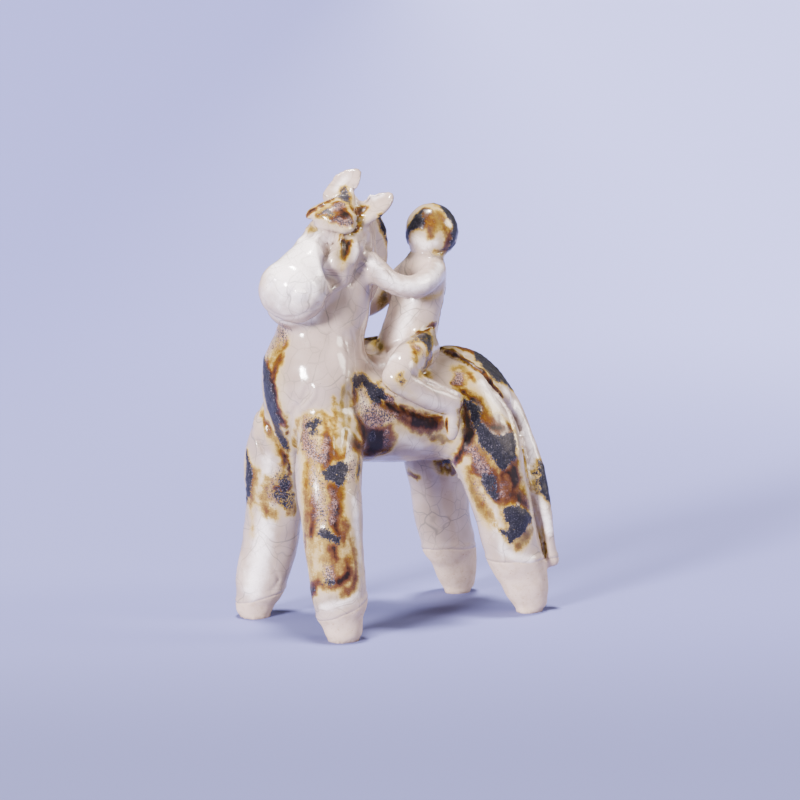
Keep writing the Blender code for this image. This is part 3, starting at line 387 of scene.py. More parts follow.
        "bandCrustNavy": ("crust", 1, 1.2, ((462.3, 396), (466, 399), (473, 402.5), (478.5, 405.4),
            (480, 413.8), (480.8, 422.3), (487.7, 428.5), (492.3, 433.3), (498.5, 435.6), (509.2, 433.3),
            (513, 431.8), (513.8, 438.5), (516, 447.7), (515.4, 457), (503.8, 470.4), (497.5, 467.5),
            (491.7, 459), (486.7, 452.5), (480, 445), (476.7, 440), (475.5, 432), (472.3, 424.6),
            (470, 417), (467, 407.7), (463.8, 401.5))),
        "diamondRightAmber": ("iron", 0.73, 2.3, ((511, 464, 2.8), (515, 462, 2.8), (517.5, 470, 2.5),
            (517.5, 479, 2.5))),
        "bandLowMaroon": ("iron", 0.8, 2.4, ((470.8, 443), (476.7, 446), (483.3, 453), (490, 461),
            (496.7, 468.5), (499, 474), (493, 476), (488, 471), (483, 474), (477.5, 475), (473.3, 467.5),
            (471.7, 460), (467.5, 453))),
        "bandLowCrumbs": ("crumbs", 0.78, 2.7, ((472, 450, 4.7), (477, 460, 5.7), (485, 468, 6))),
        "bandLowPeach": ("clear", 0.35, 1.6, ((479, 450, 1.8), (486, 460, 2.4), (492, 468, 2.4))),
        "thighRust": ("iron", 0.86, 2.8, ((477, 467, 5), (485, 473, 6), (493, 479, 6.2), (497, 490, 5.6),
            (499, 500, 4.6))),
        "thighCrust": ("crust", 0.84, 1.7, ((480.8, 476.7), (485.8, 473.3), (491.7, 472.5), (496.7, 476.8),
            (497.5, 484), (497.5, 492), (498, 499), (494, 500.7), (490, 496.7), (485, 491.7), (481.7, 485))),
        "thighOrange": ("iron", 0.62, 2.8, ((502.5, 476, 5.3), (506, 486, 6.9), (507, 496, 6.2))),
        "thighOrangeLow": ("iron", 0.73, 2.4, ((501, 500, 3.7), (506, 501.5, 4.1), (510, 498, 3))),
        "thighOrangeCrumbs": ("crumbs", 0.51, 2.7, ((501, 486, 3.1), (502, 496, 3.6))),
        "thighBrown": ("iron", 0.97, 2.6, ((503, 471.5), (509, 468), (514, 463), (517.5, 467), (518.3, 476),
            (519.5, 487), (523.3, 497), (528, 502), (528.3, 509), (520, 505.5), (513, 503), (512.5, 492),
            (510.8, 484), (506.7, 476.5))),
        "thighShade": ("iron", 0.34, 3.1, ((521, 478, 2.5), (523.5, 490, 3), (528, 499, 2.8))),
        "thighLeftOchre": ("iron", 0.42, 3.4, ((469.5, 470, 4), (471, 482, 5), (474.5, 493, 5.8),
            (480, 503, 6), (487, 512, 5))),
        "thighLeftOlive": ("olive", 0.7, 3.4, ((469, 484, 3.4), (474, 498, 4), (483, 512, 4))),
        "thighLeftSpot": ("iron", 0.69, 1.8, ((482.5, 503.5, 2.1),)),
        "thighLeftStraw": ("iron", 0.28, 3.9, ((482, 514, 4.8), (490, 521, 4.8), (496, 523, 3))),
        "thighLeftCrumbs": ("crumbs", 0.51, 3, ((476, 482, 2.6), (480, 494, 3.1), (488, 502, 3.1))),
        "thighGap": ("clear", 0.92, 1, ((491, 503, 1.6), (496, 508, 2.4), (500, 516, 3), (503, 526, 2.4))),
        "dripCrust": ("crust", 1, 0.9, ((502.5, 509), (505.8, 506.7), (511.7, 505), (517.5, 505),
            (523.3, 508.5), (528.3, 512.5), (531.7, 517.5), (530.8, 524), (525, 530.8), (520, 535.8),
            (515, 540), (510.8, 543.3), (506.7, 540), (505, 535), (501.3, 532.5), (501.7, 530.4),
            (505.8, 530.8), (507.5, 526.7), (504, 520), (503.3, 513.3))),
        "dripOlive": ("iron", 0.42, 2.8, ((530, 530, 4), (525, 537, 5), (520, 543, 5), (518, 547.5, 3.2))),
        "dripOlivePool": ("olive", 0.9, 2.4, ((529, 532, 3), (523, 541, 4), (519, 546, 3))),
        "dripSpotOne": ("iron", 0.82, 1.6, ((518.3, 545.5, 2.4),)),
        "dripSpotTwo": ("iron", 0.71, 1.8, ((526.7, 536.7, 2.8),)),
        # painted shadow: a black iron line in the crevice between rump and tail
        "tailCreviceShadow": ("iron", 1, 0.8, ((440, 347.5, 1.2), (450, 352.3, 1.3), (458.5, 357.3, 1.3),
            (465.4, 360, 1.7), (472.3, 363.8, 2.2), (480, 369.2, 2.4), (486, 376, 2.4), (492.3, 384.6, 2.2),
            (498.5, 392.3, 1.5), (504, 400, 0.8))),
        "tailCreviceAmber": ("iron", 0.67, 1.4, ((453, 352.5, 1.6), (461, 356.5, 1.6))),
        "tailCrust": ("crust", 0.92, 1.2, ((473.8, 347.2), (480, 349.5), (486, 354), (493.8, 360),
            (500.5, 367), (506, 375.5), (511.5, 383.5), (514.5, 391), (509.2, 388), (503.8, 383.3),
            (498.5, 381.8), (493.8, 380), (490, 376), (485.4, 370.8), (480.8, 363.8), (474.6, 360),
            (473.8, 355.4))),
        "tailCrustPale": ("clear", 0.5, 1, ((487.5, 371.5, 1.8), (492, 376, 1.8))),
        # brown lines in the tail groove, with painted shade along it
        "tailGrooveBrownAndShade": ("iron", 0.39, 1.6, ((523, 450, 1.6), (527, 472, 1.6), (531, 492, 1.6))),
        "tailGrooveSpecks": ("iron", 0.62, 0.6, ((543, 539, 1), (544.5, 546, 1.2), (545.5, 556, 0.9))),
        "tailLowTint": ("iron", 0.28, 2.8, ((541, 532, 2.5), (543, 545, 3))),
        "tailMiddleCrust": ("crust", 0.9, 1.2, ((538.5, 461), (542.5, 461.5), (546, 473), (549.5, 483),
            (554, 493.5), (557.5, 505.5), (558.5, 516), (555, 509.5), (549, 502), (544, 497), (540, 493.5),
            (539, 486.7), (534.5, 480.5), (538.5, 477), (538.8, 473.5), (533.5, 473), (537.5, 468))),
        "tailMiddleRust": ("iron", 0.78, 1.8, ((544, 476, 2.1), (546, 482, 1.9))),
        "cleanTail": ("clear", 1, 0.5, ((508, 394, 2.6), (517, 410, 4), (526, 432, 4.6), (531, 448, 4))),
        "hairWash": ("iron", 0.5, 3.4, ((430, 211, 4.5), (434, 219, 6.5), (433, 228, 5.5), (439, 214, 5.4),
            (443, 224, 5), (446, 233, 3))),
        "hairOlive": ("olive", 0.9, 3, ((436, 214, 4), (440, 224, 4), (435, 232, 3))),
        "hairLeftCrust": ("crust", 0.98, 1.2, ((422.7, 209.5), (417.3, 214.2), (412.3, 220.5), (408.8, 226),
            (406.6, 231.3), (405.6, 236.7), (406.6, 241.3), (408.3, 246), (409.3, 240), (409.8, 234),
            (413.3, 230.7), (417.3, 228), (422.7, 228), (423.5, 223.3), (424.5, 219.3), (423.5, 214))),
        "hairLeftMaroon": ("iron", 0.91, 1.8, ((424, 211.5, 2.3), (424, 219, 2.8), (421.5, 226.5, 2.3))),
        "hairOchre": ("iron", 0.6, 2.1, ((427, 209.5, 3), (427.5, 217, 4), (428, 225, 4), (430, 231, 3.8),
            (430.5, 235, 2.6))),
        "hairSpotOne": ("iron", 0.67, 1.4, ((432.7, 221.3, 2),)),
        "hairSpotTwo": ("iron", 0.67, 1.6, ((428.5, 229.5, 2.8),)),
        "hairRightCrust": ("crust", 0.98, 1, ((438.7, 205.5), (444, 205), (449.6, 208), (454.6, 212.8),
            (458, 219), (458.8, 226.7), (458, 233.6), (455, 240.5), (451.5, 248), (447.3, 254.5),
            (447.5, 249), (450.7, 240), (450.5, 232), (453, 227.3), (449.3, 222), (446.7, 217.3),
            (443.3, 212.7), (439.3, 208))),
        "hairRightBrown": ("iron", 0.88, 1.9, ((451, 231, 2.1), (449.5, 238, 2.8), (447, 245, 2.8),
            (445, 250, 2.3))),
        "napeOlive": ("iron", 0.61, 1.9, ((435.5, 251.3, 1.5), (440.5, 252, 2.2), (444.8, 252.5, 2.3))),
        "napePool": ("olive", 0.7, 1.7, ((440, 252, 1.8), (445, 252.5, 1.8))),
        # crust on the child's back edge, darkened as painted shade where the side turns from the light
        "backEdgeCrustAndShade": ("crust", 0.9, 1.2, ((447.5, 285, 0.9), (445, 294, 1.4), (442, 306, 1.6),
            (439.5, 320, 1.9), (437.5, 331, 1.9))),
        "waistBrown": ("iron", 0.8, 1, ((436, 324, 2.2), (431, 326.5, 2.2), (425, 330, 1.5),
            (419, 332.5, 1), (411, 337.5, 0.7))),
        "hipCrust": ("crust", 0.75, 1.9, ((409, 343), (415, 338), (421, 334), (428, 332.5), (431.5, 336),
            (432, 346), (431, 354), (428, 350), (425, 344.5), (420, 341.5), (414, 342.5))),
        "hipPeach": ("crumbs", 0.61, 2.7, ((415, 346, 3.1), (420, 350, 3.6), (424, 356, 2.9))),
        "hipRust": ("iron", 0.56, 2.1, ((413.5, 347, 2.3), (415, 352, 2.3))),
        "hipOlive": ("iron", 0.5, 2.4, ((416, 353, 3), (415.5, 358.5, 3), (419, 348, 2.3))),
        # crust bits and brown iron on the back of the child's hip, darkened as painted shade
        "hipBackCrustAndShade": ("crust", 0.7, 1.2, ((429, 348, 1.8), (427.5, 358, 2.4), (424.5, 368, 2.6),
            (422, 375, 2.4))),
        "hipBackBrownAndShade": ("iron", 0.67, 2.8, ((431, 354, 3), (429, 364, 3.7), (426, 374, 3))),
        "lapOlive": ("olive", 1, 2.5, ((371, 342, 2), (377, 344, 3.2), (385, 346, 2.8), (392, 346, 1.8))),
        "lapStraw": ("iron", 0.28, 2.8, ((373, 344, 3), (382, 347, 3.2))),
        "lapBrown": ("iron", 0.86, 0.9, ((368.5, 339, 1.5),)),
        "lapBrownTwo": ("iron", 0.86, 0.9, ((376, 338.5, 1.8), (379, 340.5, 1.2))),
        "armpitOlive": ("olive", 0.95, 2, ((385, 293, 2.2), (383.5, 302, 2.4), (383, 312, 2.2),
            (381, 326, 1.4))),
        "armpitShade": ("iron", 0.43, 2.8, ((384, 296, 2.3), (382.5, 306, 2.3))),
        "farArmGreen": ("olive", 0.7, 1.7, ((382.5, 293, 1.6), (380.5, 301, 1.8))),
        # crumbs on the far shoulder, partly standing as its painted shade
        "farShoulderCrumbsAndShade": ("crumbs", 0.44, 3.4, ((396, 270, 3.9), (401, 266, 4.4), (400, 274, 3.4))),
        "armUnderShade": ("iron", 0.17, 2.8, ((424, 297.5, 2.3), (434, 296, 3), (442, 292, 3))),
        "biscuitSpeck": ("iron", 0.8, 0.5, ((530, 565, 0.9), (532.5, 567, 0.9))),
    },
    "offSide": {
        "haunchWash": ("iron", 0.34, 3, ((-14, 42, 3), (-19, 40, 4.5), (-22, 33, 4), (-20, 25, 3),
            (-19, 18, 1.8))),
        "haunchRust": ("iron", 0.8, 2, ((-17, 41, 2.2), (-20, 36, 2.8), (-20, 30, 2.2))),
        "haunchCrust": ("crust", 0.95, 1, ((-15, 43), (-19, 45), (-22, 42), (-22.5, 37), (-20, 34),
            (-17.5, 37))),
        "haunchCrumbs": ("crumbs", 0.8, 2.4, ((-20, 33, 2.6), (-20.5, 28, 2))),
        "haunchRun": ("olive", 0.8, 1.6, ((-20, 26, 1.4), (-19.5, 20, 1.2), (-19, 15, 0.8))),
        "shoulderRust": ("iron", 0.62, 2.4, ((15, 52, 1.4), (17, 47, 2.2), (18.5, 41, 2.2))),
        "shoulderCrumbs": ("crumbs", 0.8, 3, ((17, 44, 2.6), (19, 38, 2.2))),
        "forelegWash": ("iron", 0.36, 2, ((18.5, 34, 1.8), (19, 28, 2), (19.5, 20, 1.4))),
        "forelegCrust": ("crust", 0.9, 1, ((18.6, 30.5, 1.5), (18.8, 27, 1.2))),
        "legTopOlive": ("olive", 0.8, 2, ((14, 36, 1.4), (12, 33, 1.2))),
    },
    "behind": {
        "hairBackCrust": ("crust", 0.95, 1, ((1, 73.5, 3.4), (0, 70, 3.6), (-1, 67, 2.4))),
        "hairBackRust": ("iron", 0.8, 1.8, ((3.5, 71, 2.2), (3.5, 67, 2), (0, 64.5, 1.4))),
        "backStreak": ("iron", 0.66, 1, ((-1, 58, 0.8), (-1.5, 52, 1.1), (-1.5, 45, 1.2), (-1, 40, 1))),
        "tailStreak": ("iron", 0.5, 1.2, ((0, 36, 1), (0, 28, 1), (0, 20, 0.8))),
    },
}

# Clear ash glaze over white slip, dipped, splashed with iron and fired: glassy and finely crazed over ivory,
# amber where the iron thins out, blackish and matte where it lay thick; the bare clay below the dip line is
# pinkish and dry. The patches of whiter slip also carry painted highlight where the light falls.
figure = {
    "grain": 0.44,  # between neighbouring points of the worked skin
    "hemReach": 0.7,  # twice as many points this near a dip line
    "smoothings": 18,  # rounds that rub the facets out
    "rub": 0.6,  # share of the way to the neighbours' middle
    "rubBack": 1.03,  # the push back is this much stronger, so that nothing shrinks
    "pressDepth": 0.26,  # finger presses
    "pressSpan": 6.5,
    "rippleDepth": 0.085,  # small unevenness under the glaze
    "rippleSpan": 2.1,
    "soleHeight": 0.3,  # the clay under this stays as it stood on its board
    "soleFlat": 0.28,  # and under this it lies on the ground
    "soleReach": 11,  # from a dip line's place to the far edge of its sole
    "worn": 0.9,  # the sole's edge is rubbed in
    "wornSpan": 1.6,
    "thickness": 0.18,  # the glaze's step down to the bare clay
    "stepWidth": 0.16,
    "lip": 0.24,  # the bead that ran down and froze above it
    "lipSpan": 0.55,
    "lipStart": 0.8,  # its middle is this many spans over the edge
    "wander": 0.3,  # how far the edge strays from a straight dip line
    "wanderSpan": 3.0,
    "swell": 0.4,  # the clay is fuller close under the glaze
    "swellSpan": 3.5,
    "crustThickness": 0.16,  # iron crust stands proud of the glaze
    "crumbShare": 0.5,  # of that for crumbs
    "lumpSpan": 0.8,
    "lumps": (0.8, 0.9),  # how much of the thickness is even, and how much comes and goes
    "crustHalo": 0.3,  # iron that bled out round a crust
    "haloFrom": 0.6,  # only round a crust stronger than this
    "haloStart": 0.4,
    "haloSoft": 1.1,
    "raggedness": 0.5,  # how far a splash strays from its outline
    "ragSpan": 1.3,
    "fineRagSpan": 0.6,
    "fineRagShare": 0.6,
    "overlap": 0.3,  # how much a second splash of a kind adds to the first
    "patchDepth": 6,  # skin further than this behind or before a patch stays clean
    "turnCost": 4,  # skin that faces another way than the mark counts as this much further off
    "lineTurn": 0.3,  # above this cosine between skin and mark it costs nothing
    "patchTurn": 0.1,
    "crustStain": 0.8,  # how much a crust stains, beside iron
    "stainRounds": 48,  # how far the iron's straw tint spreads
    "poolRounds": 10,  # glaze pools in hollows about this wide, in points
    "poolDepth": 0.5,
    # colour of the slip patches: whiter slip and painted highlight
    "slip": "#f6ecee",
    "ivory": "#af9b94",
    "ivoryShade": "#9a877d",
    "ivoryFleck": "#a08a78",
    "stain": "#b39e70",
    "olive": "#615229",
    "crackle": "#756d66",
    "scum": "#94726c",
    "grit": "#33333f",
    "biscuit": "#bfa89c",
    "biscuitShade": "#a8907e",
    "biscuitSpeck": "#8b6a55",
    "clearGloss": "#ffffff",
    "dryGloss": "#807468",  # porous iron and clay throw back little
    "ironTones": (  # straw, ochre, gold, amber, brown, rust and black, as it lies thicker
        (0.08, "#baa062"), (0.24, "#8e7434"), (0.4, "#6c4f18"), (0.54, "#593610"), (0.7, "#4c2c14"),
        (0.86, "#3a1d12"), (1.0, "#1a1110")),
    "crustTones": ((0.4, "#1b1b24"), (0.55, "#33333f"), (0.72, "#8d8088")),
    "crackleCell": 8.5,  # the second net is finer by fineCell
    "fineCell": 0.42,
    "crackleWidth": 0.15,  # real hairlines are near 0.03, too fine to show at this size
    "crackleStrengths": (0.9, 0.5),  # the wide net's, the fine net's
    "crackleBendSpan": 4.5,
    "crackleBend": 2.6,
    "grainSpan": 0.3,  # the crust's crumbs
    "streakSpan": 0.8,
    "streakLength": 6.0,  # times its width
    "blotchSpan": 1.5,
    "cloudSpan": 7.0,
    "clayPitSpan": 0.5,
    "bumpDepth": 0.12,
    "ior": 1.52,  # soda-lime glass, as an ash glaze is
    "gloss": 0.6,
}


def wrapSkin(mesh):  # the mesh, its points in mm as an array, its edges and each point's count of neighbours
    places = np.empty(len(mesh.vertices) * 3)
    mesh.vertices.foreach_get("co", places)
    edges = np.empty(len(mesh.edges) * 2, dtype=np.int32)
    mesh.edges.foreach_get("vertices", edges)
    count = np.bincount(edges, minlength=len(mesh.vertices)).astype(float)
    return {"mesh": mesh, "places": places.reshape(-1, 3) / mm, "edges": edges.reshape(-1, 2), "count": count}


def putBack(skin):
    skin["mesh"].vertices.foreach_set("co", (skin["places"] * mm).ravel())
    skin["mesh"].update()


def outward(skin):
    putBack(skin)
    out = np.empty(len(skin["places"]) * 3)
    skin["mesh"].vertex_normals.foreach_get("vector", out)
    return out.reshape(-1, 3)


def skinTree(skin):
    faces = [tuple(face.vertices) for face in skin["mesh"].polygons]
    return BVHTree.FromPolygons([tuple(place) for place in skin["places"]], faces)


def nearestPoint(skin, place):
    return int(np.argmin(np.linalg.norm(skin["places"] - np.array(place), axis=1)))


def neighbourMean(skin, values):
    a, b = skin["edges"].T
    size = len(values)
    columns = values.reshape(size, -1).T
    totals = [np.bincount(a, column[b], size) + np.bincount(b, column[a], size) for column in columns]
    return (np.stack(totals, 1) / skin["count"][:, None]).reshape(values.shape)


def noiseField(places, span, seed):
    shift = Vector((seed * 17.3, seed * 5.1, seed * 11.7))
    return np.array([noise.noise(Vector(place) / span + shift) for place in places])


def softStep(gap, soft):
    cover = np.clip(0.5 - gap / soft, 0, 1)
    return cover * cover * (3 - 2 * cover)


def wayTo(azimuth, elevation):  # from the figure to someone who looks at it from there
    a, e = math.radians(azimuth), math.radians(elevation)
    return Vector((math.sin(a) * math.cos(e), -math.cos(a) * math.cos(e), math.sin(e)))


def onSkin(tree, sight, mark):  # a mark's place on the skin in mm, and its radius if it has one
    view = sights[sight]
    right = wayTo(view["azimuth"] + 90, 0)
    back = wayTo(view["azimuth"], view["elevation"])
    top = back.cross(right)
    reach = view.get("distance", 200)
    if "distance" in view:
        eye = Vector(aim) + back * reach
        across, up = mark[0] - view["middle"], view["middle"] - mark[1]
        way = (Vector(aim) + right * (across * view["step"]) + top * (up * view["step"]) - eye).normalized()
    else:
        eye = right * mark[0] + top * mark[1] + back * reach
        way = -back
    place = tree.ray_cast(eye, way)[0]
    if place is None:  # just past the outline: the closest skin to the line of sight
        tries = [tree.find_nearest(eye + way * (reach + away)) for away in range(-32, 33, 2)]
        place = min(tries, key=lambda found: found[3])[0]
    scale = view["step"] * (place - eye).length / reach if "step" in view else 1.0
    return tuple(place) + tuple(radius * scale for radius in mark[2:])


def besideStretch(spots, start, end):  # each spot's distance from a straight stretch, and its share of it
    span = end - start
    share = np.clip((spots - start) @ span / max(span @ span, 1e-9), 0, 1)
    return np.linalg.norm(spots - start - share[:, None] * span, axis=1), share


def gapToLine(skin, normals, line):  # how far outside a brush line each point lies
    rows = [np.array(spot) for spot in line]
    if len(rows) == 1:
        rows = rows * 2
    faces = [normals[nearestPoint(skin, row[:3])] for row in rows]
    gap = np.full(len(skin["places"]), 1e3)
    for start, end, faceA, faceB in zip(rows, rows[1:], faces, faces[1:]):
        away, share = besideStretch(skin["places"], start[:3], end[:3])
        away -= start[3] + (end[3] - start[3]) * share
        turned = np.maximum(normals @ faceA, normals @ faceB)
        gap = np.minimum(gap, away + np.clip(figure["lineTurn"] - turned, 0, 1) * figure["turnCost"])
    return gap


def gapToPatch(skin, normals, corners):  # the same for the outline of a patch
    corners = np.array(corners)
    centre = corners.mean(0)
    up = np.cross(corners - centre, np.roll(corners, -1, axis=0) - centre).sum(0)
    up /= np.linalg.norm(up)
    if up @ normals[nearestPoint(skin, centre)] < 0:
        up = -up
    side = (corners[0] - centre) - up * ((corners[0] - centre) @ up)
    side /= np.linalg.norm(side)
    base = np.stack([side, np.cross(up, side)], 1)
    flat = (corners - centre) @ base
    away = skin["places"] - centre
    spots = away @ base
    inside = np.zeros(len(spots), dtype=bool)
    gap = np.full(len(spots), 1e3)
    for start, end in zip(flat, np.roll(flat, -1, axis=0)):
        gap = np.minimum(gap, besideStretch(spots, start, end)[0])
        crosses = (start[1] > spots[:, 1]) != (end[1] > spots[:, 1])
        with np.errstate(divide="ignore", invalid="ignore"):
            where = start[0] + (spots[:, 1] - start[1]) * (end[0] - start[0]) / (end[1] - start[1])
        inside ^= crosses & (spots[:, 0] < where)
    gap = np.maximum(np.where(inside, -gap, gap), np.abs(away @ up) - figure["patchDepth"])
    return gap + np.clip(figure["patchTurn"] - normals @ up, 0, 1) * figure["turnCost"]


def kneadSkin():  # the part as one even skin of small faces
    merged = bmesh.new()
    merged.from_mesh(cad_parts["horse_and_rider"].data)
    bmesh.ops.remove_doubles(merged, verts=merged.verts, dist=1e-6)
    mesh = bpy.data.meshes.new("glazedFigure")
    merged.to_mesh(mesh)
    merged.free()
    holder = bpy.data.objects.new("kneading", mesh)
    bpy.context.scene.collection.objects.link(holder)
    remesh = holder.modifiers.new("remesh", "REMESH")
    remesh.mode = "VOXEL"
    remesh.voxel_size = figure["grain"] * mm
    graph = bpy.context.evaluated_depsgraph_get()
    result = bpy.data.meshes.new_from_object(holder.evaluated_get(graph))
    bpy.data.objects.remove(holder)
    bpy.data.meshes.remove(mesh)
    return result


def heightOverDip(places):
    out = np.full(len(places), 30.0)  # far from any foot
    for spot, climb in dipLines.values():
        near = (np.sign(places[:, 0]) == np.sign(spot[0])) & (np.sign(places[:, 1]) == np.sign(spot[1]))
        line = spot[2] + (places[:, 0] - spot[0]) * climb[0] + (places[:, 1] - spot[1]) * climb[1]
        out = np.where(near, np.minimum(out, places[:, 2] - line), out)
    return out


def workSkin(skin):
    for _ in range(figure["smoothings"]):
        for push in (figure["rub"], -figure["rub"] * figure["rubBack"]):
            skin["places"] += (neighbourMean(skin, skin["places"]) - skin["places"]) * push
    places = skin["places"]
    press = noiseField(places, figure["pressSpan"], 1) * figure["pressDepth"]
    press += noiseField(places, figure["rippleSpan"], 2) * figure["rippleDepth"]
    places += outward(skin) * np.where(places[:, 2] < figure["soleHeight"], 0, press)[:, None]
    tree = skinTree(skin)
    for sight, marks in toolMarks.items():
        for width, depth, line in marks.values():
            normals = outward(skin)
            gap = gapToLine(skin, normals, [onSkin(tree, sight, mark) + (0.0,) for mark in line])
            reach = np.clip(1 - (gap / width) ** 2, 0, 1) ** 2
            skin["places"] -= normals * (reach * depth)[:, None]
        print("tool marks cut,", sight + ":", len(marks))
    putBack(skin)


def sharpenHems(skin):  # finer points where the glaze ends in a crisp edge
    near = np.abs(heightOverDip(skin["places"])) < figure["hemReach"]
    fine = bmesh.new()
    fine.from_mesh(skin["mesh"])
    fine.verts.ensure_lookup_table()
    edges = [edge for edge in fine.edges if near[edge.verts[0].index] and near[edge.verts[1].index]]
    bmesh.ops.subdivide_edges(fine, edges=edges, cuts=1, use_grid_fill=True)
    bmesh.ops.triangulate(fine, faces=[face for face in fine.faces if len(face.verts) > 4])
    fine.to_mesh(skin["mesh"])
    fine.free()
    return wrapSkin(skin["mesh"])


def paintSkin(skin):  # how thick each coat lies at each point, from 0 to 1
    normals = outward(skin)
    tree = skinTree(skin)
    dark = ("iron", "crumbs", "crust", "olive")
    coats = {kind: np.zeros(len(skin["places"])) for kind in ("slip", *dark)}
    ragged = noiseField(skin["places"], figure["ragSpan"], 3)
    ragged += figure["fineRagShare"] * noiseField(skin["places"], figure["fineRagSpan"], 4)
    for sight, marks in splashes.items():
        for kind, strength, soft, shape in marks.values():
            shape = [onSkin(tree, sight, mark) for mark in shape]
            gap = (gapToLine if len(shape[0]) == 4 else gapToPatch)(skin, normals, shape)
            gap += ragged * figure["raggedness"] * (0.4 + 0.6 * min(1, soft))  # a hard edge strays less
            cover = softStep(gap, soft) * strength
            if kind == "clear":  # wiped off again
                for name in dark:
                    coats[name] *= 1 - cover
            else:
                more, less = np.maximum(coats[kind], cover), np.minimum(coats[kind], cover)
                coats[kind] = more + less * figure["overlap"]
            if kind == "crust" and strength > figure["haloFrom"]:
                halo = softStep(gap - figure["haloStart"], figure["haloSoft"]) * figure["crustHalo"]
                coats["iron"] = np.maximum(coats["iron"], halo)
        print("splashes laid,", sight + ":", len(marks))
    coats = {name: np.clip(values, 0, 1) for name, values in coats.items()}
    coats["stain"] = np.maximum(coats["iron"], coats["crust"] * figure["crustStain"])
    for _ in range(figure["stainRounds"]):
        coats["stain"] = neighbourMean(skin, coats["stain"])
    return coats


def glazeSkin(skin, coats):  # raises the glaze's thickness; gives each point's height over the glaze's edge
    places = skin["places"]
    normals = outward(skin)
    edge = heightOverDip(places) + noiseField(places, figure["wanderSpan"], 5) * figure["wander"]
    bare = np.clip(-edge / figure["stepWidth"], 0, 1)
    lip = np.exp(-((edge - figure["lipSpan"] * figure["lipStart"]) / figure["lipSpan"]) ** 2) * (edge > 0)
    rise = lip * figure["lip"] - bare * figure["thickness"]
    even, uneven = figure["lumps"]
    lumps = even + uneven * noiseField(places, figure["lumpSpan"], 7)
    crusted = coats["crust"] + coats["crumbs"] * figure["crumbShare"]
    rise += crusted * figure["crustThickness"] * lumps * (1 - bare)
    rise += np.clip(1 + edge / figure["swellSpan"], 0, 1) * bare * figure["swell"]
    rise = np.where(places[:, 2] < figure["soleHeight"], 0, rise)
    skin["places"] = places + normals * rise[:, None]
    worn = np.clip(1 - places[:, 2] / figure["wornSpan"], 0, 1) ** 2 * figure["worn"]
    for spot, _ in dipLines.values():  # the soles' edges are rubbed round
        away = skin["places"][:, :2] - np.array(spot[:2])
        length = np.linalg.norm(away, axis=1)
        rubbed = worn * (length < figure["soleReach"])
        skin["places"][:, :2] -= away / np.maximum(length, 1)[:, None] * rubbed[:, None]
    return edge


def settle(skin):  # soles flat on the ground, nothing past the measured box
    places = skin["places"]
    places[:, 2] = np.where(places[:, 2] < figure["soleFlat"], 0, places[:, 2])
    skin["places"] = np.clip(places, np.array(cadBox[0]) / mm, np.array(cadBox[1]) / mm)
    putBack(skin)


def hollowness(skin):
    deep = skin["places"]
    for _ in range(figure["poolRounds"]):
        deep = neighbourMean(skin, deep)
    return np.clip(np.einsum("ij,ij->i", deep - skin["places"], outward(skin)) / figure["poolDepth"], 0, 1)


def linear(hexColour):
    parts = [int(hexColour[k:k + 2], 16) / 255 for k in (1, 3, 5)]
    return tuple(p / 12.92 if p <= 0.04045 else ((p + 0.055) / 1.055) ** 2.4 for p in parts) + (1.0,)


def addNode(tree, kind, inputs=(), out=0, **settings):  # links an input that is a socket; gives one output
    node = tree.nodes.new("ShaderNode" + kind)
    for name, value in settings.items():
        setattr(node, name, value)
    for name, value in inputs.items() if isinstance(inputs, dict) else enumerate(inputs):
        if isinstance(value, bpy.types.NodeSocket):
            tree.links.new(value, node.inputs[name])
        else:
            node.inputs[name].default_value = value
    return node.outputs[out]


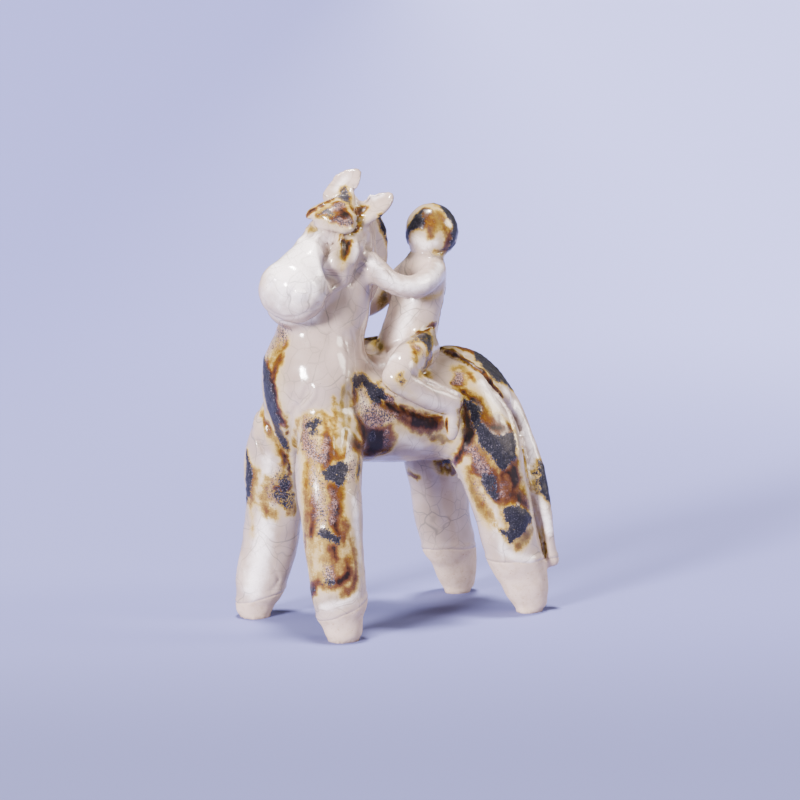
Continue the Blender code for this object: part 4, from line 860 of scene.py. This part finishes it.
def crackleGlaze():
    material = bpy.data.materials.new("ironSplashedCrackleGlaze")
    material.use_nodes = True
    add = partial(addNode, material.node_tree)
    colour = {name: linear(value) for name, value in figure.items() if isinstance(value, str)}
    smooth = {"interpolation_type": "SMOOTHSTEP"}  # inputs: value, from low and high, to low and high
    place = add("TexCoord", out="Object")
    upright = add("Mapping", {"Vector": place, "Scale": (1, 1, 1 / figure["streakLength"])})
    slip, iron, crumbs, crust, olive, stain, edge, hollow = [
        add("Attribute", attribute_name=name, out="Fac")
        for name in ("slip", "iron", "crumbs", "crust", "olive", "stain", "edge", "hollow")]
    fine, salt, blotch, cloud, pit, streaks = [
        add("TexNoise", {"Vector": vector, "Scale": 1 / (span * mm), "Detail": detail, "Roughness": rough})
        for vector, span, detail, rough in (
            (place, figure["grainSpan"], 3.0, 0.6), (place, figure["grainSpan"] * 0.8, 2.0, 0.7),
            (place, figure["blotchSpan"], 5.0, 0.68), (place, figure["cloudSpan"], 2.0, 0.55),
            (place, figure["clayPitSpan"], 1.0, 0.55), (upright, figure["streakSpan"], 5.0, 0.72))]

    # the slip patches, whiter slip with painted highlight, lie thicker and thinner; salt is the ivory's fleck
    clouded = add("MapRange", (cloud, 0.35, 0.7), **smooth)
    slipHighlightShare = add("Math", (blotch, 0.8, 0.6), operation="MULTIPLY_ADD")
    slipHighlightShare = add("Math", (slip, slipHighlightShare), operation="MULTIPLY")
    slipHighlightShare = add("MapRange", (slipHighlightShare, 0, 1), **smooth)
    fleck = add("MapRange", (salt, 0.52, 0.76, 0, 0.5), **smooth)

    # the crazing: two nets of cells with bent walls, fainter on the slip patches with their painted highlight
    bend = {"Vector": place, "Scale": 1 / (figure["crackleBendSpan"] * mm), "Detail": 1.0}
    bend = add("TexNoise", bend, "Color")
    bend = add("VectorMath", (bend, (0.5, 0.5, 0.5)), operation="SUBTRACT")
    bend = add("VectorMath", {0: bend, "Scale": figure["crackleBend"] * mm}, operation="SCALE")
    bend = add("VectorMath", (place, bend), operation="ADD")
    nets = []
    for share, strength in zip((1, figure["fineCell"]), figure["crackleStrengths"]):
        cell = figure["crackleCell"] * share
        wall = {"Vector": bend, "Scale": 1 / (cell * mm)}
        wall = add("TexVoronoi", wall, "Distance", feature="DISTANCE_TO_EDGE")
        nets.append(add("MapRange", (wall, 0, figure["crackleWidth"] / cell, strength, 0), **smooth))
    crazing = add("Math", nets, operation="MAXIMUM")
    patchy = add("MapRange", (cloud, 0.25, 0.6), **smooth)
    crazing = add("Math", (crazing, patchy), operation="MULTIPLY")
    onSlipAndHighlight = add("Math", (slip, -0.5, 1), operation="MULTIPLY_ADD")
    crazing = add("Math", (crazing, onSlipAndHighlight), operation="MULTIPLY")

    # straw where iron bled into the glaze round a splash
    bled = add("Math", (streaks, 1.6, 0.5), operation="MULTIPLY_ADD")
    bled = add("Math", (stain, bled), operation="MULTIPLY")
    bled = add("MapRange", (bled, 0, 0.5, 0, 0.6), **smooth)

    # iron in the glaze, in runs, mottled where there is any
    runs = add("Math", (streaks, 0.9, 0.66), operation="MULTIPLY_ADD")
    tone = add("Math", (iron, runs), operation="MULTIPLY")
    window = add("MapRange", (iron, 0, 0.3), **smooth)
    for mottle, strength in ((blotch, 0.8), (fine, 0.36)):
        mottle = add("Math", (mottle, strength, -strength / 2), operation="MULTIPLY_ADD")
        tone = add("Math", (mottle, window, tone), operation="MULTIPLY_ADD")
    ironShare = add("MapRange", (tone, 0, 0.22), **smooth)

    # greenish where the glaze pooled
    pooled = add("Math", (hollow, 0.4), operation="MULTIPLY")
    pooled = add("Math", (pooled, olive), operation="MAXIMUM")
    streaked = add("Math", (streaks, 1.3, 0.1), operation="MULTIPLY_ADD")
    pooled = add("Math", (pooled, streaked), operation="MULTIPLY")
    pooled = add("MapRange", (pooled, 0, 0.9, 0, 0.75), **smooth)

    # pinkish scum with dark grit where the crust thins out
    uneven = add("Math", (blotch, 0.5), operation="SUBTRACT")
    scum = add("Math", (uneven, 1.6, crumbs), operation="MULTIPLY_ADD")
    scum = add("MapRange", (scum, 0.1, 0.7), **smooth)
    grains = add("MapRange", (salt, 0.42, 0.54), **smooth)
    scum = add("Math", (scum, grains), operation="MULTIPLY")
    scumShare = add("Math", (scum, 0.9), operation="MULTIPLY")
    grit = add("Math", (crumbs, 0.16, fine), operation="MULTIPLY_ADD")
    grit = add("MapRange", (grit, 0.61, 0.67), **smooth)
    strewn = add("MapRange", (crumbs, 0.05, 0.3), **smooth)
    grit = add("Math", (grit, strewn), operation="MULTIPLY")

    # crust: dark, broken at its edges, with pale bits between
    broken = add("Math", (fine, 0.5), operation="SUBTRACT")
    broken = add("Math", (broken, 1.8, crust), operation="MULTIPLY_ADD")
    broken = add("Math", (uneven, 1.2, broken), operation="MULTIPLY_ADD")
    crustShare = add("MapRange", (broken, 0.4, 0.55), **smooth)
    crustTone = add("MapRange", (crust, 0.5, 0.95), **smooth)
    crustTone = add("Math", (crustTone, -0.1, salt), operation="MULTIPLY_ADD")
    ramps = []
    for value, stops in ((tone, figure["ironTones"]), (crustTone, figure["crustTones"])):
        ramps.append(add("ValToRGB", (value,)))
        elements = ramps[-1].node.color_ramp.elements
        while len(elements) < len(stops):
            elements.new(0.5)
        for element, (position, hexColour) in zip(elements, stops):
            element.position = position
            element.color = linear(hexColour)

    # each layer's colour and where it covers, from the bottom up, first for the bare clay
    bare = add("MapRange", (edge, -0.12, 0.02, 1, 0), **smooth)
    clayShade = add("MapRange", (blotch, 0.42, 0.7, 0, 0.6), **smooth)
    claySpeck = add("MapRange", (pit, 0.68, 0.74, 0, 0.5), **smooth)
    grounds = []
    for ground, layers in (
            (colour["biscuit"], ((colour["biscuitShade"], clayShade), (colour["biscuitSpeck"], claySpeck))),
            (colour["ivory"], (
                (colour["ivoryShade"], clouded), (colour["slip"], slipHighlightShare), (colour["ivoryFleck"], fleck),
                (colour["crackle"], crazing), (colour["stain"], bled), (ramps[0], ironShare),
                (colour["olive"], pooled), (colour["scum"], scumShare), (colour["grit"], grit),
                (ramps[1], crustShare)))):
        for over, share in layers:
            ground = add("Mix", {0: share, 6: ground, 7: over}, 2, data_type="RGBA")
        grounds.append(ground)
    ground = add("Mix", {0: bare, 6: grounds[1], 7: grounds[0]}, 2, data_type="RGBA")

    # thick iron, grit and bare clay are dull, the rest is glassy
    thick = add("MapRange", (tone, 0.4, 0.9, 0, 0.8), **smooth)
    dull = add("Math", (crustShare, grit), operation="MAXIMUM")
    dull = add("Math", (dull, thick), operation="MAXIMUM")
    dry = add("Math", (dull, bare), operation="MAXIMUM")
    tint = add("Mix", {0: dry, 6: colour["clearGloss"], 7: colour["dryGloss"]}, 2, data_type="RGBA")
    rough = add("Math", (fine, 0.2, 0.05), operation="MULTIPLY_ADD")
    rough = add("Math", (dull, 0.25, rough), operation="MULTIPLY_ADD")
    for share, strength in ((scum, 0.45), (bare, 0.85)):
        share = add("Math", (share, strength), operation="MULTIPLY")
        rough = add("Math", (rough, share), operation="MAXIMUM")

    # fine relief: lumpy crust, gritty clay, open hairlines
    relief = add("Math", (bare, 0.4, 0.1), operation="MULTIPLY_ADD")
    rugged = add("Math", (crust, crumbs), operation="MAXIMUM")
    relief = add("Math", (rugged, 0.6, relief), operation="MULTIPLY_ADD")
    relief = add("Math", (fine, relief), operation="MULTIPLY")
    relief = add("Math", (crazing, -0.15, relief), operation="MULTIPLY_ADD")
    bump = add("Bump", {"Strength": 0.6, "Distance": figure["bumpDepth"] * mm, "Height": relief})

    shader = material.node_tree.nodes["Principled BSDF"]
    shader.inputs["IOR"].default_value = figure["ior"]
    shader.inputs["Specular IOR Level"].default_value = figure["gloss"]
    ends = {"Base Color": ground, "Specular Tint": tint, "Roughness": rough, "Normal": bump}
    for name, value in ends.items():
        material.node_tree.links.new(value, shader.inputs[name])
    return material


def makeFigure():
    skin = wrapSkin(kneadSkin())
    workSkin(skin)
    skin = sharpenHems(skin)
    coats = paintSkin(skin)
    coats["edge"] = glazeSkin(skin, coats)
    settle(skin)
    coats["hollow"] = hollowness(skin)
    mesh = skin["mesh"]
    for name, values in coats.items():
        layer = mesh.attributes.new(name, "FLOAT", "POINT")
        layer.data.foreach_set("value", values.astype(np.float32))
    mesh.materials.clear()
    mesh.materials.append(crackleGlaze())
    mesh.shade_smooth()
    glazedFigure = bpy.data.objects.new("glazedFigure", mesh)
    bpy.context.scene.collection.objects.link(glazedFigure)
    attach(glazedFigure, "root")
    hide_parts("horse_and_rider")
    triangles = sum(len(face.vertices) - 2 for face in mesh.polygons)
    print("glazed figure:", len(mesh.vertices), "points,", triangles, "triangles")


makeFigure()

studio = {
    "lens": 153.947,
    "sensor": 36,
    "floorReach": 9.0,  # metres, as the next three
    "gradeAcross": (-0.16, 0.16),
    "gradeNear": (-0.12, 0.03),
    "gradeDeep": (0.03, 0.5),
    "floorRoughness": 0.85,
    "floorShine": 0.1,
    # the floor tones and their grades are painted light falloff: darker at the front and far left, brighter
    # far right
    "floorFront": "#656896",
    "floorColour": "#797cb6",
    "floorFarLeft": "#7679ba",
    "floorFarRight": "#9b9fe2",
    "skyColour": "#fff9c8",
    "skyStrength": 0.23,
    "window": (0.0, 45.0, 0.5),  # a wide pale panel in the air's light: azimuth, elevation, strength
    "windowEdge": (0.65, 0.95),
    "lightDistance": 900,
    "softboxes": {  # azimuth, elevation, how wide it looks from the figure, strength, colour
        "overhead": (0.0, 88.0, 9.0, 8.0, "#fff9f6"),
        "leftFront": (20.0, 15.0, 13.0, 13.0, "#fffafb"),
        "cameraFill": (55.0, 10.0, 30.0, 0.5, "#fff4ec"),
        "rightBack": (140.0, 24.0, 24.0, 2.8, "#fff6ec"),
    },
}


def hangAimed(name, data, azimuth, elevation, distance):
    thing = bpy.data.objects.new(name, data)
    place = (Vector(aim) + wayTo(azimuth, elevation) * distance) * mm
    thing.location = place
    thing.rotation_euler = (place - Vector(aim) * mm).to_track_quat("Z", "Y").to_euler()
    bpy.context.scene.collection.objects.link(thing)
    return thing


def layFloor():
    material = bpy.data.materials.new("paleMattBoard")  # matt card, no shine; its colour is painted light falloff: darker at the front and far left, brighter far right
    material.use_nodes = True
    add = partial(addNode, material.node_tree)
    place = add("TexCoord", out="Object")
    azimuth = sights["picture"]["azimuth"]
    deep, side = [add("VectorMath", (place, wayTo(azimuth + turn, 0)), "Value", operation="DOT_PRODUCT")
                  for turn in (180, 90)]
    tones = [linear(studio[name]) for name in ("floorFront", "floorColour", "floorFarLeft", "floorFarRight")]
    grades = ((deep, "gradeNear"), (side, "gradeAcross"), (deep, "gradeDeep"))  # the last blends both
    for value, name in grades:
        share = add("MapRange", (value, *studio[name]), interpolation_type="SMOOTHSTEP")
        tones.append(add("Mix", {0: share, 6: tones.pop(0), 7: tones.pop(0)}, 2, data_type="RGBA"))
    shader = material.node_tree.nodes["Principled BSDF"]
    material.node_tree.links.new(tones[0], shader.inputs["Base Color"])
    shader.inputs["Roughness"].default_value = studio["floorRoughness"]
    shader.inputs["Specular IOR Level"].default_value = studio["floorShine"]
    reach = studio["floorReach"]
    mesh = bpy.data.meshes.new("studioFloor")
    corners = [(-reach, -reach, 0), (reach, -reach, 0), (reach, reach, 0), (-reach, reach, 0)]
    mesh.from_pydata(corners, [], [(0, 1, 2, 3)])
    mesh.materials.append(material)
    floor = bpy.data.objects.new("studioFloor", mesh)
    bpy.context.scene.collection.objects.link(floor)


def lightStudio():
    world = bpy.data.worlds.new("studioAir")
    bpy.context.scene.world = world
    world.use_nodes = True
    sky = world.node_tree.nodes["Background"]
    sky.inputs["Color"].default_value = linear(studio["skyColour"])
    azimuth, elevation, strength = studio["window"]
    add = partial(addNode, world.node_tree)
    way = add("TexCoord", out="Generated")
    facing = add("VectorMath", (way, wayTo(azimuth, elevation)), "Value", operation="DOT_PRODUCT")
    glow = (facing, *studio["windowEdge"], studio["skyStrength"], strength)
    glow = add("MapRange", glow, interpolation_type="SMOOTHSTEP")
    world.node_tree.links.new(glow, sky.inputs["Strength"])
    for name, (azimuth, elevation, width, strength, colour) in studio["softboxes"].items():
        light = bpy.data.lights.new(name, "SUN")
        light.energy = strength
        light.angle = math.radians(width)
        light.color = linear(colour)[:3]
        hangAimed(name, light, azimuth, elevation, studio["lightDistance"])


def setCamera():
    camera = bpy.data.cameras.new("camera")
    camera.sensor_width = studio["sensor"]
    camera.lens = studio["lens"]
    camera.clip_start = 0.01
    camera.clip_end = 50
    picture = sights["picture"]
    where = (picture["azimuth"], picture["elevation"], picture["distance"])
    bpy.context.scene.camera = hangAimed("camera", camera, *where)


layFloor()
lightStudio()
setCamera()
print("studio set")
